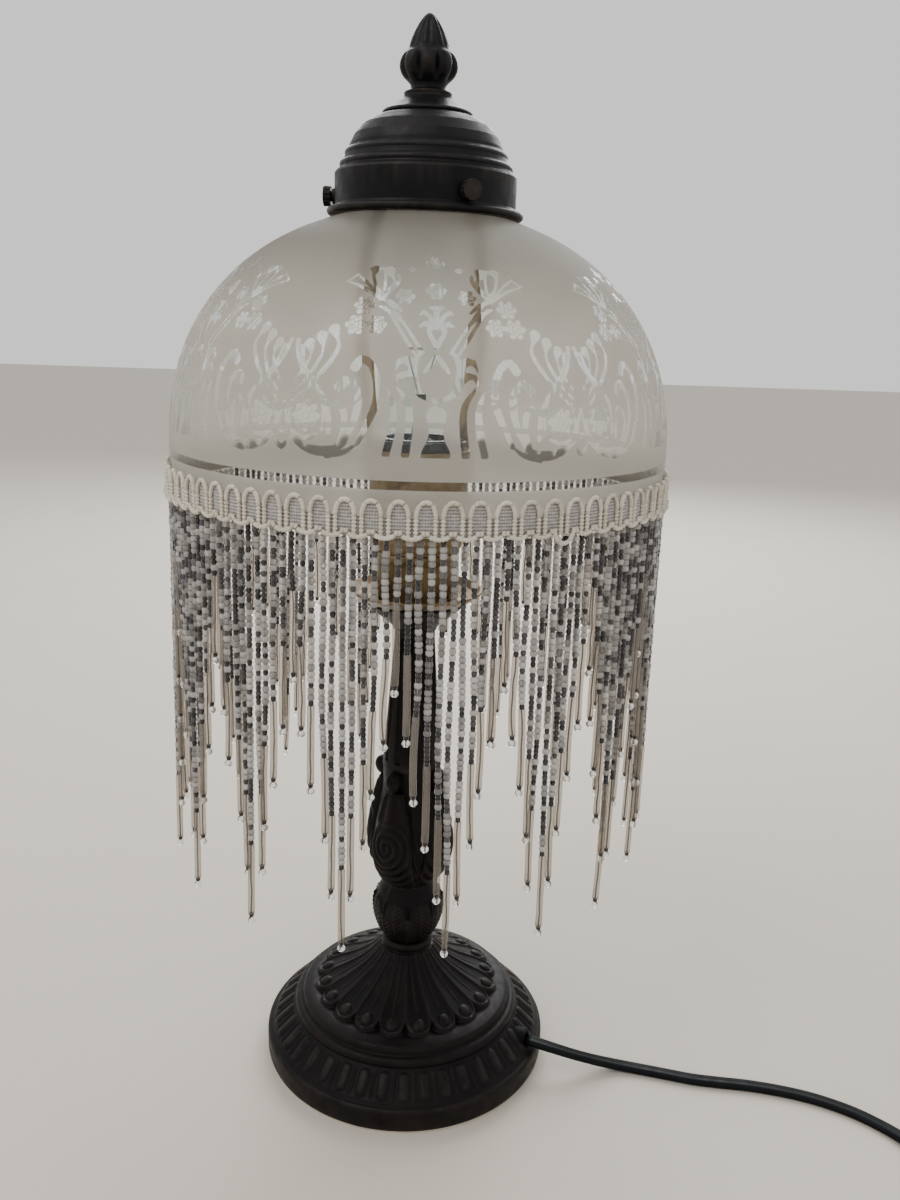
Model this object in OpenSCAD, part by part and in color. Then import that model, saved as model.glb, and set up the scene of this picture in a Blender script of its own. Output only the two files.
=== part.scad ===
// Table lamp with a frosted glass dome, a bead fringe and a cast stem.
// Millimetres, +Z up. The origin is the centre of the felt under the base.

/* [Base] */
// Diameter of the base plinth
base_d = 130; // [120:1:140]
// Height of the plinth's upright edge above the table
plinth_h = 11; // [10:0.5:12]
// Number of ridges in the ring above the plinth
flute_count = 40; // [24:2:60]
// Number of scallops on the base dome
scallop_count = 20; // [12:2:28]
// Thickness of the felt
felt_t = 1; // [0.8:0.1:1.5]

/* [Stem] */
// Radius of the ball knob
knob_r = 16.5; // [15:0.5:18]
// Radius of the leaf baluster at its widest
baluster_r = 20; // [18:0.2:21]
// Radius of the column at its foot
column_foot_r = 13; // [12:0.5:14]
// Radius of the column at its top
column_top_r = 8.6; // [8:0.2:10]
// Number of flutes on the column
column_flutes = 12; // [8:1:16]
// Radius of the drip dish
dish_r = 28.7; // [26:0.1:30]

/* [Lampholder and bulb] */
// Radius of the brass shell
shell_r = 20.5; // [20:0.1:21]
// Bore of the E27 thread sleeve, as a radius
sleeve_r = 13.5; // [13.4:0.05:13.6]
// Radius of the bulb glass
bulb_r = 17.7; // [16:0.1:18]

/* [Harp] */
// Turn of the harp about the lamp's axis
harp_turn = 27; // [0:1:45]
// Half width of the harp at its widest
harp_half = 24; // [23:0.5:26]
// Width of the brass strap
strap_w = 9; // [7:0.5:10]
// Thickness of the brass strap
strap_t = 1.2; // [1:0.1:1.6]

/* [Shade] */
// Outer diameter of the glass dome
glass_d = 200; // [196:1:202]
// Wall of the glass
glass_t = 2.8; // [2:0.1:3.5]
// Thickness of the braid
braid_t = 2.5; // [2:0.1:3]
// Height of the braid
braid_h = 13; // [11:0.5:14]
// Number of points round the fringe
fringe_points = 17; // [12:1:20]
// Visible length of the shortest strands
fringe_short = 53; // [40:1:60]
// Visible length of the longest strands
fringe_long = 153; // [120:1:156]

/* [Cord] */
// Width of the flat twin flex
cord_w = 6; // [5:0.1:6.4]
// Thickness of the flat twin flex
cord_t = 3.2; // [2.8:0.1:3.4]

/* [Hidden] */
$fn = 96;

// Heights of the joints between the stacked pieces
base_top = 51;
collar_top = 57;
knob_top = 84.6;
baluster_top = 142;
column_top = 204.6;
cup_top = 217.6;
dish_top = 223;
base_r = base_d / 2;

// Threaded tube through the stem
tube_r = 5;
tube_bore = 3.5;
tube_clear = 0.1;
tube_bottom = 30;
tube_top = 229;
hole_r = tube_r + tube_clear;

// Lampholder
cap_r = 16.8;
groove_z = 239.6;
shell_foot = 241;
shell_top = 281;
holder_wall = 0.9;
insulator_top = 286.6;
insulator_neck_r = 17.4;
shade_ring_top = 286;

// Harp
harp_foot = shell_top + 0.1;
harp_top = 400.6;
stud_r = 2.9;
stud_top = 428;

// Cap and finial
cap_low = 371.3;
cap_wall_r = 35.3;
cap_flange_r = 38.3;
cap_top = 415.2;
cap_wall = 1.4;
hub_low = harp_top + 0.1;
finial_low = cap_top + 0.1;
finial_top = 444;
screw_z = 378.8;
screw_r = 2;
screw_angles = [-65, 55, 175];

// Glass
glass_r = glass_d / 2;
glass_equator = 283;
glass_rise = 91.9;
glass_power = 2.2;
glass_low = 264.6;
neck_r = 32;
neck_top = 385.4;

// Braid and fringe
braid_low = 264;
braid_in = glass_r - 0.1;
braid_out = braid_in + braid_t;
fringe_r = 99.8;
fringe_t = 2.6;
fringe_pitch = 360 / fringe_points;
fringe_phase = -82.9;

// Cord outlet in the base wall
outlet_angle = -22;
outlet_z = 14.6;
outlet_hole_r = 5;
outlet_face = 60;

// Turns a list of [radius, height] points about the lamp's axis.
module turned(points) {
  rotate_extrude() polygon(points);
}

// Points of an arc from one angle to another, for use in an outline.
function arc(centre, radius, from, to, steps = 8) = [
  for (i = [0 : steps])
    let (a = from + (to - from) * i / steps)
    centre + radius * [cos(a), sin(a)]
];

// Straight rod between two points.
module rod(from, to, radius) {
  run = to - from;
  reach = norm(run);
  translate(from)
    rotate([0, acos(run.z / reach), atan2(run.y, run.x)])
      cylinder(h = reach, r = radius);
}

module ring(outer, inner, low, height) {
  translate([0, 0, low]) difference() {
    cylinder(h = height, r = outer);
    translate([0, 0, -1]) cylinder(h = height + 2, r = inner);
  }
}

module hex_nut(flats, low, height, bore) {
  translate([0, 0, low]) difference() {
    cylinder(h = height, r = flats / sqrt(3), $fn = 6);
    translate([0, 0, -1]) cylinder(h = height + 2, r = bore);
  }
}

// ---------- Base ----------

plate_t = 1.2;
plate_r = base_r - 4;
weight_low = felt_t + plate_t + 0.1;
weight_h = 6;
cover_screw_r = 1.5;
cover_screw_at = 40;

module felt_pad() {
  color("tan") cylinder(h = felt_t, r = base_r - 0.7);
}

module cover_plate() {
  color("dimgray") difference() {
    translate([0, 0, felt_t]) cylinder(h = plate_t, r = plate_r);
    cover_screw_places() cylinder(h = 20, r = cover_screw_r + 0.1);
  }
}

module cover_screw_places() {
  for (i = [0 : 2])
    rotate(60 + 120 * i) translate([cover_screw_at, 0, 0]) children();
}

module cover_screws() {
  color("silver") cover_screw_places()
    translate([0, 0, felt_t + 0.1]) cylinder(h = 6.5, r = cover_screw_r);
}

module base_weight() {
  color("gray") difference() {
    ring(54, 16, weight_low, weight_h);
    cover_screw_places() cylinder(h = 20, r = cover_screw_r + 0.1);
  }
}

flute_low = [base_r - 3, plinth_h + 1.2];
flute_high = [52, 21.6];
// Slope of the dome, as [radius, height], from its scalloped edge up to the collar
dome_line = [
  [42.3, 31], [38, 33.2], [32, 36], [26, 39.2], [20, 43.1], [16, 46.6], [13.4, 49.6]
];

module base_skin() {
  turned(concat(
    [[0, felt_t], [base_r, felt_t]],
    arc([base_r - 1, plinth_h - 1], 1, 0, 90, 4),
    [[base_r - 2.6, plinth_h + 0.2], flute_low, [57.5, 16.6], flute_high],
    arc([49.6, 23.2], 2, -10, 80, 5),
    arc([45.6, 27.3], 1.9, 0, 90, 5),
    [[44.6, 29.4], [42.8, 29.6]],
    dome_line,
    [[12.4, base_top], [0, base_top]]
  ));
}

module base_hollow() {
  turned([
    [0, 0], [plate_r + 0.1, 0], [plate_r + 0.1, 7.6], [57, 9.6], [49, 17.8], [41, 25],
    [30, 31], [18, 36], [12, 39.5], [0, 39.5]
  ]);
}

module base_flutes() {
  for (i = [0 : flute_count - 1])
    rotate(i * 360 / flute_count)
      rod([flute_low.x - 0.6, 0, flute_low.y - 0.8], [flute_high.x - 0.9, 0, flute_high.y], 1.2);
}

// Upright ribs down the dome, with a round eye between each two at their feet.
module base_scallops() {
  rib_t = 1.4;
  rib_line = [for (point = dome_line) point + [0.3, 0.8]];
  for (i = [0 : scallop_count - 1])
    rotate(i * 360 / scallop_count) {
      rotate([90, 0, 0]) translate([0, 0, -rib_t / 2]) linear_extrude(rib_t)
        polygon(concat(rib_line, [[13.1, 42], [40, 28.7]]));
      rotate(180 / scallop_count) translate([37.4, 0, 31.9]) sphere(r = 2.7, $fn = 24);
    }
}

module base() {
  color([0.16, 0.13, 0.13]) difference() {
    union() {
      base_skin();
      base_flutes();
      base_scallops();
    }
    base_hollow();
    cylinder(h = 60, r = hole_r);
    rotate(outlet_angle) translate([40, 0, outlet_z])
      rotate([0, 90, 0]) cylinder(h = outlet_face - 39.8, r = outlet_hole_r);
  }
}

module foot_washer() {
  color("silver") ring(9, hole_r, 38, 1.4);
}

module foot_nut() {
  color("silver") hex_nut(14, 32.5, 5.4, hole_r);
}

// Rubber bush that fills the outlet and guides the flex over the plinth.
module cord_grommet() {
  color("black") rotate(outlet_angle) translate([0, 0, outlet_z])
    rotate([0, 90, 0]) difference() {
      translate([0, 0, 50]) cylinder(h = outlet_face - 50, r = outlet_hole_r - 0.05);
      translate([0, 0, 49]) cylinder(h = 20, r = cord_w / 2 + 0.1);
    }
}

// Saddle that holds the flex down on the weight.
module cord_clamp() {
  color("ivory") rotate(outlet_angle) translate([36, 0, weight_low + weight_h + 0.1])
    difference() {
      translate([-4, -8, 0]) cube([8, 16, 6.4]);
      translate([-5, -4, -1]) cube([10, 8, 5.4]);
    }
}

// Flex inside the lamp: from the outlet over the weight and up the tube.
module inner_flex() {
  wire_r = cord_t / 2;
  out = [cos(outlet_angle), sin(outlet_angle)];
  lie_z = weight_low + weight_h + 2.3;
  bends = [
    concat(out * (outlet_face - 0.2), [outlet_z]), concat(out * 50, [outlet_z]),
    concat(out * 44, [lie_z]), [0, 0, lie_z], [0, 0, tube_top + 4]
  ];
  color("black") for (i = [0 : len(bends) - 2]) {
    rod(bends[i], bends[i + 1], wire_r, $fn = 24);
    if (i > 0) translate(bends[i]) sphere(r = wire_r + 0.1, $fn = 24);
  }
}

// ---------- Stem ----------

module bored() {
  difference() {
    children();
    translate([0, 0, 20]) cylinder(h = 260, r = hole_r);
  }
}

module collar() {
  color([0.17, 0.14, 0.14]) bored() turned(concat(
    [[0, base_top], [11.2, base_top]],
    arc([9.6, base_top + 2.4], 2.2, -60, 90, 8),
    [[9.7, collar_top - 0.8], [10.4, collar_top - 0.4], [10.4, collar_top], [0, collar_top]]
  ));
}

knob_mid = 70.5;

module knob() {
  leaf_rows = [[64.5, 11], [73, 11.4]];
  color([0.1, 0.09, 0.1]) bored() union() {
    turned([
      [0, collar_top], [10.9, collar_top], [12, 58.8], [13.8, 62], [15.1, 66], [15.5, knob_mid],
      [15.1, 75.5], [13.9, 79.4], [12.2, 82.6], [11.4, knob_top], [0, knob_top]
    ]);
    for (row = [0, 1], i = [0 : 7])
      rotate(45 * i + 22.5 * row)
        translate([leaf_rows[row].y, 0, leaf_rows[row].x]) sphere(r = knob_r - 11.8, $fn = 24);
  }
}

// Front outline of a leaf, as [sideways, height], and the line of its crest.
leaf_outline = [
  [-8.8, 85.4], [-11.6, 92.6], [-12, 105.6], [-8.7, 121.6], [-5, 135.6],
  [5, 135.6], [8.7, 121.6], [12, 105.6], [11.6, 92.6], [8.8, 85.4]
];
leaf_crest = [
  [0, 86.2], [13.4, 86.2], [14.9, 88.2], [17.3, 92.3], [19.2, 97], [19.9, 101],
  [baluster_r, 106], [19.6, 111.5], [18.9, 118], [17.8, 124.6], [16.6, 130.5], [15.9, 133],
  [0, 133]
];
leaf_turn = -31;

// Leaf of the baluster, with the scroll that it hangs from.
module leaf() {
  intersection() {
    turned(leaf_crest);
    rotate([90, 0, 90]) linear_extrude(baluster_r + 1) polygon(leaf_outline);
  }
  translate([14.6, 4, 137.3]) rotate([90, 0, 0]) cylinder(h = 8, r = 4, $fn = 32);
}

module baluster() {
  color([0.13, 0.11, 0.11]) bored() union() {
    turned([
      [0, knob_top], [11.6, knob_top], [12.6, 86.9], [14.2, 91], [15.4, 96], [16.2, 102],
      [16.1, 108], [15.2, 115], [13.8, 122], [12.9, 128], [12.5, 133], [12.6, 138],
      [12.8, baluster_top - 1], [12.4, baluster_top], [0, baluster_top]
    ]);
    for (i = [0 : 3])
      rotate(90 * i + leaf_turn) leaf();
  }
}

module column() {
  flute_r = 2;
  color([0.13, 0.11, 0.11]) bored() difference() {
    translate([0, 0, baluster_top])
      cylinder(h = column_top - baluster_top, r1 = column_foot_r, r2 = column_top_r);
    for (i = [0 : column_flutes - 1])
      rotate(i * 360 / column_flutes)
        rod(
          [column_foot_r + 1, 0, baluster_top + 3],
          [column_top_r + 1, 0, column_top - 3],
          flute_r, $fn = 24
        );
  }
}

module cup() {
  color([0.1, 0.09, 0.1]) bored() turned([
    [0, column_top], [9.4, column_top], [9.8, 206], [11.5, 207.6], [14.6, 210.2], [19, 214],
    [21.9, 216.8], [21.6, cup_top], [0, cup_top]
  ]);
}

module dish() {
  wall = 1.2;
  color("saddlebrown") bored() turned(concat(
    [[0, cup_top], [20.4, cup_top], [25, cup_top + 1.4]],
    arc([dish_r - 0.8, dish_top - 0.8], 0.8, -60, 150, 6),
    [[24.6, cup_top + 2.8], [20.2, cup_top + wall], [0, cup_top + wall]]
  ));
}

module stem_tube() {
  color("gold") ring(tube_r, tube_bore, tube_bottom, tube_top - tube_bottom);
}

// ---------- Lampholder ----------

holder_low = cup_top + 1.3;

module holder_nut() {
  color("gold") hex_nut(14, holder_low + 1.1, 3.4, hole_r);
}

module holder_cap() {
  color("darkgoldenrod") bored() turned(concat(
    [[0, holder_low], [14.6, holder_low]],
    arc([14.8, holder_low + 2], 2, -90, 0, 5),
    [
      [cap_r, 235], [18.2, groove_z - 0.6], [17.6, groove_z], [16.4, groove_z],
      [16.4, 236], [cap_r - holder_wall, 234.4], [cap_r - holder_wall, holder_low + 2.6],
      [14.4, holder_low + 1], [0, holder_low + 1]
    ]
  ));
}

module holder_shell() {
  inner = shell_r - holder_wall;
  color("darkgoldenrod") turned([
    [17.4, shell_foot - 1.2], [17.6, shell_foot], [18.6, shell_foot], [shell_r, 246],
    [shell_r, shell_top], [inner, shell_top], [inner, 246.4], [17.8, 242.4],
    [16.6, 241.6], [16.6, shell_foot - 1.2]
  ]);
}

module holder_insulator() {
  color("black") difference() {
    union() {
      turned([
        [0, 237], [15, 237], [15, 243], [17.2, 243.4], [18.6, 246.6], [19.3, 248],
        [19.3, shell_top - 0.3], [insulator_neck_r, shell_top - 0.3],
        [insulator_neck_r, insulator_top], [0, insulator_top]
      ]);
    }
    translate([0, 0, 252]) cylinder(h = 60, r = sleeve_r + 0.6);
  }
}

module thread_sleeve() {
  color("gold") ring(sleeve_r + 0.5, sleeve_r, 255, 27);
}

module holder_contacts() {
  color("gold") {
    translate([0, 0, 252.1]) cylinder(h = 1.2, r = 4);
    translate([8, -2, 252.1]) cube([4, 4, 2.4]);
  }
}

module shade_ring() {
  color("black") difference() {
    turned(concat(
      [[insulator_neck_r + 0.1, harp_foot + 1.3], [19.4, harp_foot + 1.3]],
      arc([18.8, shade_ring_top - 0.6], 0.6, 0, 90, 4),
      [[insulator_neck_r + 0.1, shade_ring_top]]
    ));
    for (i = [0 : 11])
      rotate(30 * i) translate([20.2, 0, 280]) cylinder(h = 10, r = 1.2, $fn = 20);
  }
}

// ---------- Harp ----------

// Points of a cubic curve through four control points.
function curve(a, b, c, d, steps) = [
  for (i = [0 : steps])
    let (t = i / steps, s = 1 - t)
    s * s * s * a + 3 * s * s * t * b + 3 * s * t * t * c + t * t * t * d
];

foot_x = 20.6;
harp_arm = concat(
  [[foot_x, harp_foot]],
  curve([foot_x, harp_foot + 4], [foot_x + 1, 298], [harp_half, 308], [harp_half, 328], 8),
  curve([harp_half, 334], [harp_half - 1, 362], [13, 380], [8.5, harp_top - 5], 8),
  [[7, harp_top - 2], [5, harp_top - strap_t / 2], [0, harp_top - strap_t / 2]]
);

// Turns a line of points into a strap outline by stepping half a thickness to either side.
function strap_side(line, shift) = [
  for (i = [0 : len(line) - 1])
    let (
      before = line[max(i - 1, 0)],
      after = line[min(i + 1, len(line) - 1)],
      along = (after - before) / norm(after - before)
    )
    line[i] + shift * [along.y, -along.x]
];

function reversed(list) = [for (i = [len(list) - 1 : -1 : 0]) list[i]];

module harp_half_strap() {
  rotate([90, 0, 0]) translate([0, 0, -strap_w / 2]) linear_extrude(strap_w)
    polygon(concat(
      strap_side(harp_arm, strap_t / 2),
      reversed(strap_side(harp_arm, -strap_t / 2))
    ));
}

module harp() {
  color("darkgoldenrod") rotate(harp_turn) difference() {
    union() {
      harp_half_strap();
      mirror([1, 0, 0]) harp_half_strap();
      ring(foot_x + 1.8, insulator_neck_r + 0.1, harp_foot, 1.2);
    }
    translate([0, 0, harp_top - 10]) cylinder(h = 20, r = stud_r + 0.1);
  }
}

module harp_stud() {
  color("gold") {
    translate([0, 0, harp_top - strap_t - 1.9]) cylinder(h = 1.8, r = 4.4);
    translate([0, 0, harp_top - strap_t - 0.2])
      cylinder(h = stud_top - harp_top + strap_t + 0.2, r = stud_r);
  }
}

// ---------- Bulb ----------

bulb_cap_r = sleeve_r - 0.4;
bulb_cap_low = 254;
bulb_neck = 282;
bulb_top = 356;
bulb_wall = 0.8;

module bulb_cap() {
  color("silver") turned([
    [0, bulb_cap_low], [4.6, bulb_cap_low], [5.4, 255.4], [10.6, 257.4], [bulb_cap_r, 259],
    [bulb_cap_r, bulb_neck - 2], [12.7, bulb_neck], [0, bulb_neck]
  ]);
}

// Outline of the bulb, drawn in by a given amount for its inner face.
function bulb_line(inset) = concat(
  curve(
    [12.4 - inset, bulb_neck + 0.1], [13 - inset, 290],
    [bulb_r - inset, 296], [bulb_r - inset, 308], 8
  ),
  [
    for (i = [0 : 12])
      let (a = 90 * i / 12)
      [(bulb_r - inset) * cos(a), 326 + (bulb_top - 326 - inset) * sin(a)]
  ]
);

module bulb_glass() {
  color([0.85, 0.9, 0.9, 0.4]) rotate_extrude()
    polygon(concat(bulb_line(0), reversed(bulb_line(bulb_wall))));
}

module bulb_mount() {
  color([0.8, 0.85, 0.85]) turned([
    [0, bulb_neck + 0.1], [9, bulb_neck + 0.1], [4, 286.4], [2.4, 294], [2.2, 304], [0, 304]
  ]);
}

module filament() {
  color("gray") {
    for (side = [-1, 1])
      rod([side * 1.2, 0, 304.3], [side * 6, 0, 322], 0.35, $fn = 16);
    rod([-6, 0, 322], [6, 0, 322], 0.5, $fn = 16);
  }
}

// ---------- Cap, glass and trimmings ----------

module cap_skin() {
  turned(concat(
    [[0, cap_low], [36.4, cap_low]],
    arc([cap_flange_r - 1.5, cap_low + 1.5], 1.5, -70, 100, 8),
    [[cap_wall_r + 0.4, cap_low + 3.2], [cap_wall_r, cap_low + 4], [cap_wall_r, 386.6]],
    [[34.6, 387.6], [33.5, 388.2]],
    arc([32.2, 389.8], 1.3, -40, 60, 4),
    [[31.9, 391.6], [31.6, 392.4]],
    arc([30.2, 394], 1.3, -30, 60, 4),
    [[29.9, 396], [29.6, 397.2], [27.9, 400.6], [24.6, 404.4], [21, 406.8], [17.8, 408]],
    arc([16.5, 408.9], 0.9, -50, 90, 4),
    [[14, 411.2], [10.4, 413.5], [9.3, 414.3], [9.2, cap_top], [0, cap_top]]
  ));
}

module cap_hollow() {
  turned([
    [0, cap_low - 1], [cap_wall_r - cap_wall, cap_low - 1], [cap_wall_r - cap_wall, 386.2],
    [31.6, 388], [29.8, 392.4], [27.8, 396.6], [25.8, 400.2], [22.6, 403.4], [18, 405.6],
    [9.4, 409], [0, 409]
  ]);
}

module screw_places() {
  for (a = screw_angles) rotate(a) children();
}

module cap() {
  color([0.2, 0.19, 0.2]) difference() {
    union() {
      difference() {
        cap_skin();
        cap_hollow();
      }
      translate([0, 0, hub_low]) cylinder(h = 10, r = 8);
      screw_places() translate([cap_wall_r - 1, 0, screw_z]) rotate([0, 90, 0])
        cylinder(h = 2, r = 3);
    }
    translate([0, 0, hub_low - 1]) cylinder(h = 30, r = stud_r + 0.1);
    screw_places() translate([neck_r, 0, screw_z]) rotate([0, 90, 0])
      cylinder(h = 10, r = screw_r + 0.05);
  }
}

// Outer line of the dome from the shoulder down to the widest ring.
glass_dome = [
  for (i = [0 : 14])
    let (a = 68 - 68 * i / 14)
    [
      glass_r * pow(cos(a), 2 / glass_power),
      glass_equator + glass_rise * pow(sin(a), 2 / glass_power)
    ]
];

module glass() {
  outer = concat(
    [[neck_r, neck_top], [neck_r + 1.3, neck_top - 0.6], [neck_r + 1.3, neck_top - 1.6]],
    [[neck_r, neck_top - 2.4], [neck_r, 373.4], [neck_r + 0.8, 371.6], [36.6, 370.5]],
    glass_dome,
    [[glass_r - 0.6, 277.6], [glass_r - 0.7, 272], [glass_r - 0.2, glass_low]]
  );
  inner = [for (p = glass_dome) p - glass_t * [p.x / glass_r, 1.1 * (1 - p.x / glass_r)]];
  color([0.9, 0.88, 0.85, 0.5]) rotate_extrude() polygon(concat(
    outer,
    [[glass_r - glass_t, glass_low], [glass_r - glass_t - 0.5, 272]],
    reversed(inner),
    [[neck_r - glass_t + 0.6, 369.6], [neck_r - glass_t, 371.6], [neck_r - glass_t, neck_top]]
  ));
}

module braid() {
  color("gainsboro") ring(braid_out, braid_in, braid_low, braid_h);
}

// One point of the fringe: a thin panel whose tip is the longest strand.
module fringe_panel() {
  width = 2 * fringe_r * tan(fringe_pitch / 2) - 0.8;
  top = -0.2;
  translate([fringe_r - fringe_t / 2, 0, braid_low]) rotate([90, 0, 90])
    linear_extrude(fringe_t) polygon([
      [-width / 2, top], [-width / 2, -fringe_short], [0, -fringe_long],
      [width / 2, -fringe_short], [width / 2, top]
    ]);
}

module fringe() {
  color("darkgray") for (i = [0 : fringe_points - 1])
    rotate(fringe_phase + i * fringe_pitch) fringe_panel();
}

module thumb_screw(i) {
  head_r = 3.8;
  head_x = cap_wall_r + 1.7;
  head_t = 2.9;
  color([0.25, 0.24, 0.25]) rotate(screw_angles[i]) translate([0, 0, screw_z])
    rotate([0, 90, 0]) {
      translate([0, 0, neck_r + 0.1]) cylinder(h = head_x - neck_r, r = screw_r);
      translate([0, 0, head_x]) difference() {
        cylinder(h = head_t, r = head_r);
        for (k = [0 : 11])
          rotate(30 * k) translate([head_r + 0.3, 0, -1]) cylinder(h = 8, r = 0.6, $fn = 16);
      }
    }
}

module finial() {
  crown_z = 425.5;
  crown_turn = -92;
  color([0.2, 0.17, 0.15]) difference() {
    union() {
      turned([
        [0, finial_low], [9.1, finial_low], [9.2, 415.9], [9.1, 416.4], [7.5, 417], [6.8, 417.6],
        [6.8, 419], [7.9, 420.4], [9.4, 422.4], [10.2, 424.8], [10.1, 427.2], [9.4, 429.4],
        [8.3, 430.6], [7.7, 431.2], [7, 433.6], [6, 436.2], [4.7, 438.8], [3.3, 441.2],
        [2.1, 442.8], [1, 443.7], [0, finial_top]
      ]);
      for (i = [0 : 7])
        rotate(45 * i + crown_turn) translate([8, 0, crown_z]) sphere(r = 2.9, $fn = 24);
    }
    translate([0, 0, finial_low - 1]) cylinder(h = stud_top - finial_low + 2, r = stud_r + 0.05);
  }
}

// ---------- Cord ----------

// Middle line of the flex, from the outlet to the switch, from the switch to the coil,
// and from the coil to the plug.
route_to_switch = [
  [56, -22.6, 14.6], [63, -25.2, 14], [71, -26.2, 11.9], [79, -25.6, 8.8], [87, -24.4, 5.6],
  [95, -23.8, 3.2], [103, -24.4, 1.9], [111, -26.2, 1.6], [120, -28.7, 1.6], [132, -32, 1.6],
  [144, -34, 1.6], [156, -35.7, 1.6], [168, -38.4, 1.6], [179, -41.8, 1.6], [189, -46.2, 1.6],
  [199, -52.2, 1.6], [207, -59, 1.6], [213, -66, 2], [218, -74, 2.8], [223, -82, 4.2],
  [229, -89, 5.8], [237, -94, 6.8], [246, -96, 7]
];
route_to_coil = [
  [304, -104, 7], [310, -104.6, 6.8], [316.5, -103.6, 6], [322, -101.4, 5.2], [327, -97.7, 4.4],
  [331, -92.9, 3.8], [334, -87, 3.2], [335.5, -80.5, 2.9], [335, -72, 2.7], [332.4, -63, 2.6],
  [328, -54, 2.6], [323.6, -47, 2.6], [321.5, -40, 2.6]
];
route_to_plug = [
  [318, -38, 9.2], [319.4, -29, 9], [321.8, -19, 8.4], [324.8, -10, 7.6], [326.8, -1, 7],
  [327, 7.9, 6.9]
];

// Cross-section of the flex, as [sideways, up] steps.
cord_sides = 8;
cord_section = [
  for (k = [0 : cord_sides - 1])
    let (a = 360 * (k + 0.5) / cord_sides)
    [cord_w / 2 * cos(a), cord_t / 2 * sin(a)] / cos(180 / cord_sides)
];

// Ring of points about one point of a route, square to the route's direction there.
function cord_ring(route, i) =
  let (
    before = route[max(i - 1, 0)],
    after = route[min(i + 1, len(route) - 1)],
    along = (after - before) / norm(after - before),
    flat = [along.y, -along.x, 0],
    side = flat / norm(flat),
    up = cross(side, along)
  )
  [for (p = cord_section) route[i] + p.x * side + p.y * up];

// Flex swept along a route as one closed solid.
module flex(route) {
  rings = len(route);
  n = cord_sides;
  points = [for (i = [0 : rings - 1]) each cord_ring(route, i)];
  walls = [
    for (i = [0 : rings - 2], k = [0 : n - 1])
      let (next = (k + 1) % n)
      [i * n + k, i * n + next, (i + 1) * n + next, (i + 1) * n + k]
  ];
  start = [for (k = [n - 1 : -1 : 0]) k];
  finish = [for (k = [0 : n - 1]) (rings - 1) * n + k];
  polyhedron(points, concat([start], walls, [finish]), convexity = 4);
}

module cord() {
  color("black") {
    flex(route_to_switch);
    flex(route_to_coil);
    flex(route_to_plug);
  }
}

coil_at = [284, -40];
coil_low = 1;
coil_mid_r = 31.5;
row_h = cord_t + 0.1;

module cord_coil() {
  inner = coil_mid_r - 1.5 * cord_w;
  outer = coil_mid_r + 1.5 * cord_w;
  color([0.1, 0.1, 0.1]) translate([coil_at.x, coil_at.y, coil_low]) rotate_extrude()
    polygon([
      [inner + 1, 0], [outer - 1, 0], [outer, 1], [outer, 2 * row_h - 0.6],
      [outer - 1, 2 * row_h], [coil_mid_r + cord_w / 2, 2 * row_h],
      [coil_mid_r + cord_w / 2, 3 * row_h], [coil_mid_r - cord_w / 2, 3 * row_h],
      [coil_mid_r - cord_w / 2, 2 * row_h], [inner + 1, 2 * row_h],
      [inner, 2 * row_h - 0.6], [inner, 1]
    ]);
}

// Strap tie round the coil's bundle.
module coil_tie() {
  tie_t = 0.8;
  tie_w = 4;
  bundle_w = 3 * cord_w + 0.4;
  bundle_h = 3 * row_h + 0.4;
  color("dimgray") translate([coil_at.x, coil_at.y, 0]) rotate(150)
    translate([coil_mid_r, 0, 0]) difference() {
      translate([-bundle_w / 2 - tie_t, -tie_w / 2, 0.1])
        cube([bundle_w + 2 * tie_t, tie_w, bundle_h + 2 * tie_t]);
      translate([-bundle_w / 2, -tie_w, 0.1 + tie_t]) cube([bundle_w, 2 * tie_w, bundle_h]);
    }
}

switch_at = [275, -100];
switch_turn = -8;
switch_l = 58.6;
switch_w = 22;
switch_split = 7;
switch_h = 14;
switch_wall = 1.6;
rocker_l = 17;
rocker_w = 8.4;
rocker_z = 10.6;
rocker_tilt = 8;
rocker_clear = 0.35;
rocker_slot_l = rocker_l + 1.8;
rocker_slot_w = rocker_w + 2 * rocker_clear;
pivot_r = 1.2;
cheek_t = 1.6;

module at_switch() {
  translate([switch_at.x, switch_at.y, 0]) rotate(switch_turn) children();
}

// Plan of the switch: a slim oblong with tapered ends.
module switch_plan(inset) {
  half_l = switch_l / 2 - inset;
  half_w = switch_w / 2 - inset;
  polygon([
    [-half_l, -4.5 + inset / 2], [-half_l + 9, -half_w], [half_l - 9, -half_w],
    [half_l, -4.5 + inset / 2], [half_l, 4.5 - inset / 2], [half_l - 9, half_w],
    [-half_l + 9, half_w], [-half_l, 4.5 - inset / 2]
  ]);
}

module switch_base() {
  color("black") at_switch() difference() {
    linear_extrude(switch_split - 0.05) switch_plan(0);
    translate([0, 0, switch_wall]) linear_extrude(switch_split) switch_plan(switch_wall);
  }
}

// Two brass blades that the rocker joins.
module switch_contacts() {
  color("gold") at_switch() for (side = [-1, 1])
    translate([side * 9 - 6, -1.5, switch_wall + 0.05]) cube([12, 3, 1.2]);
}

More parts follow.
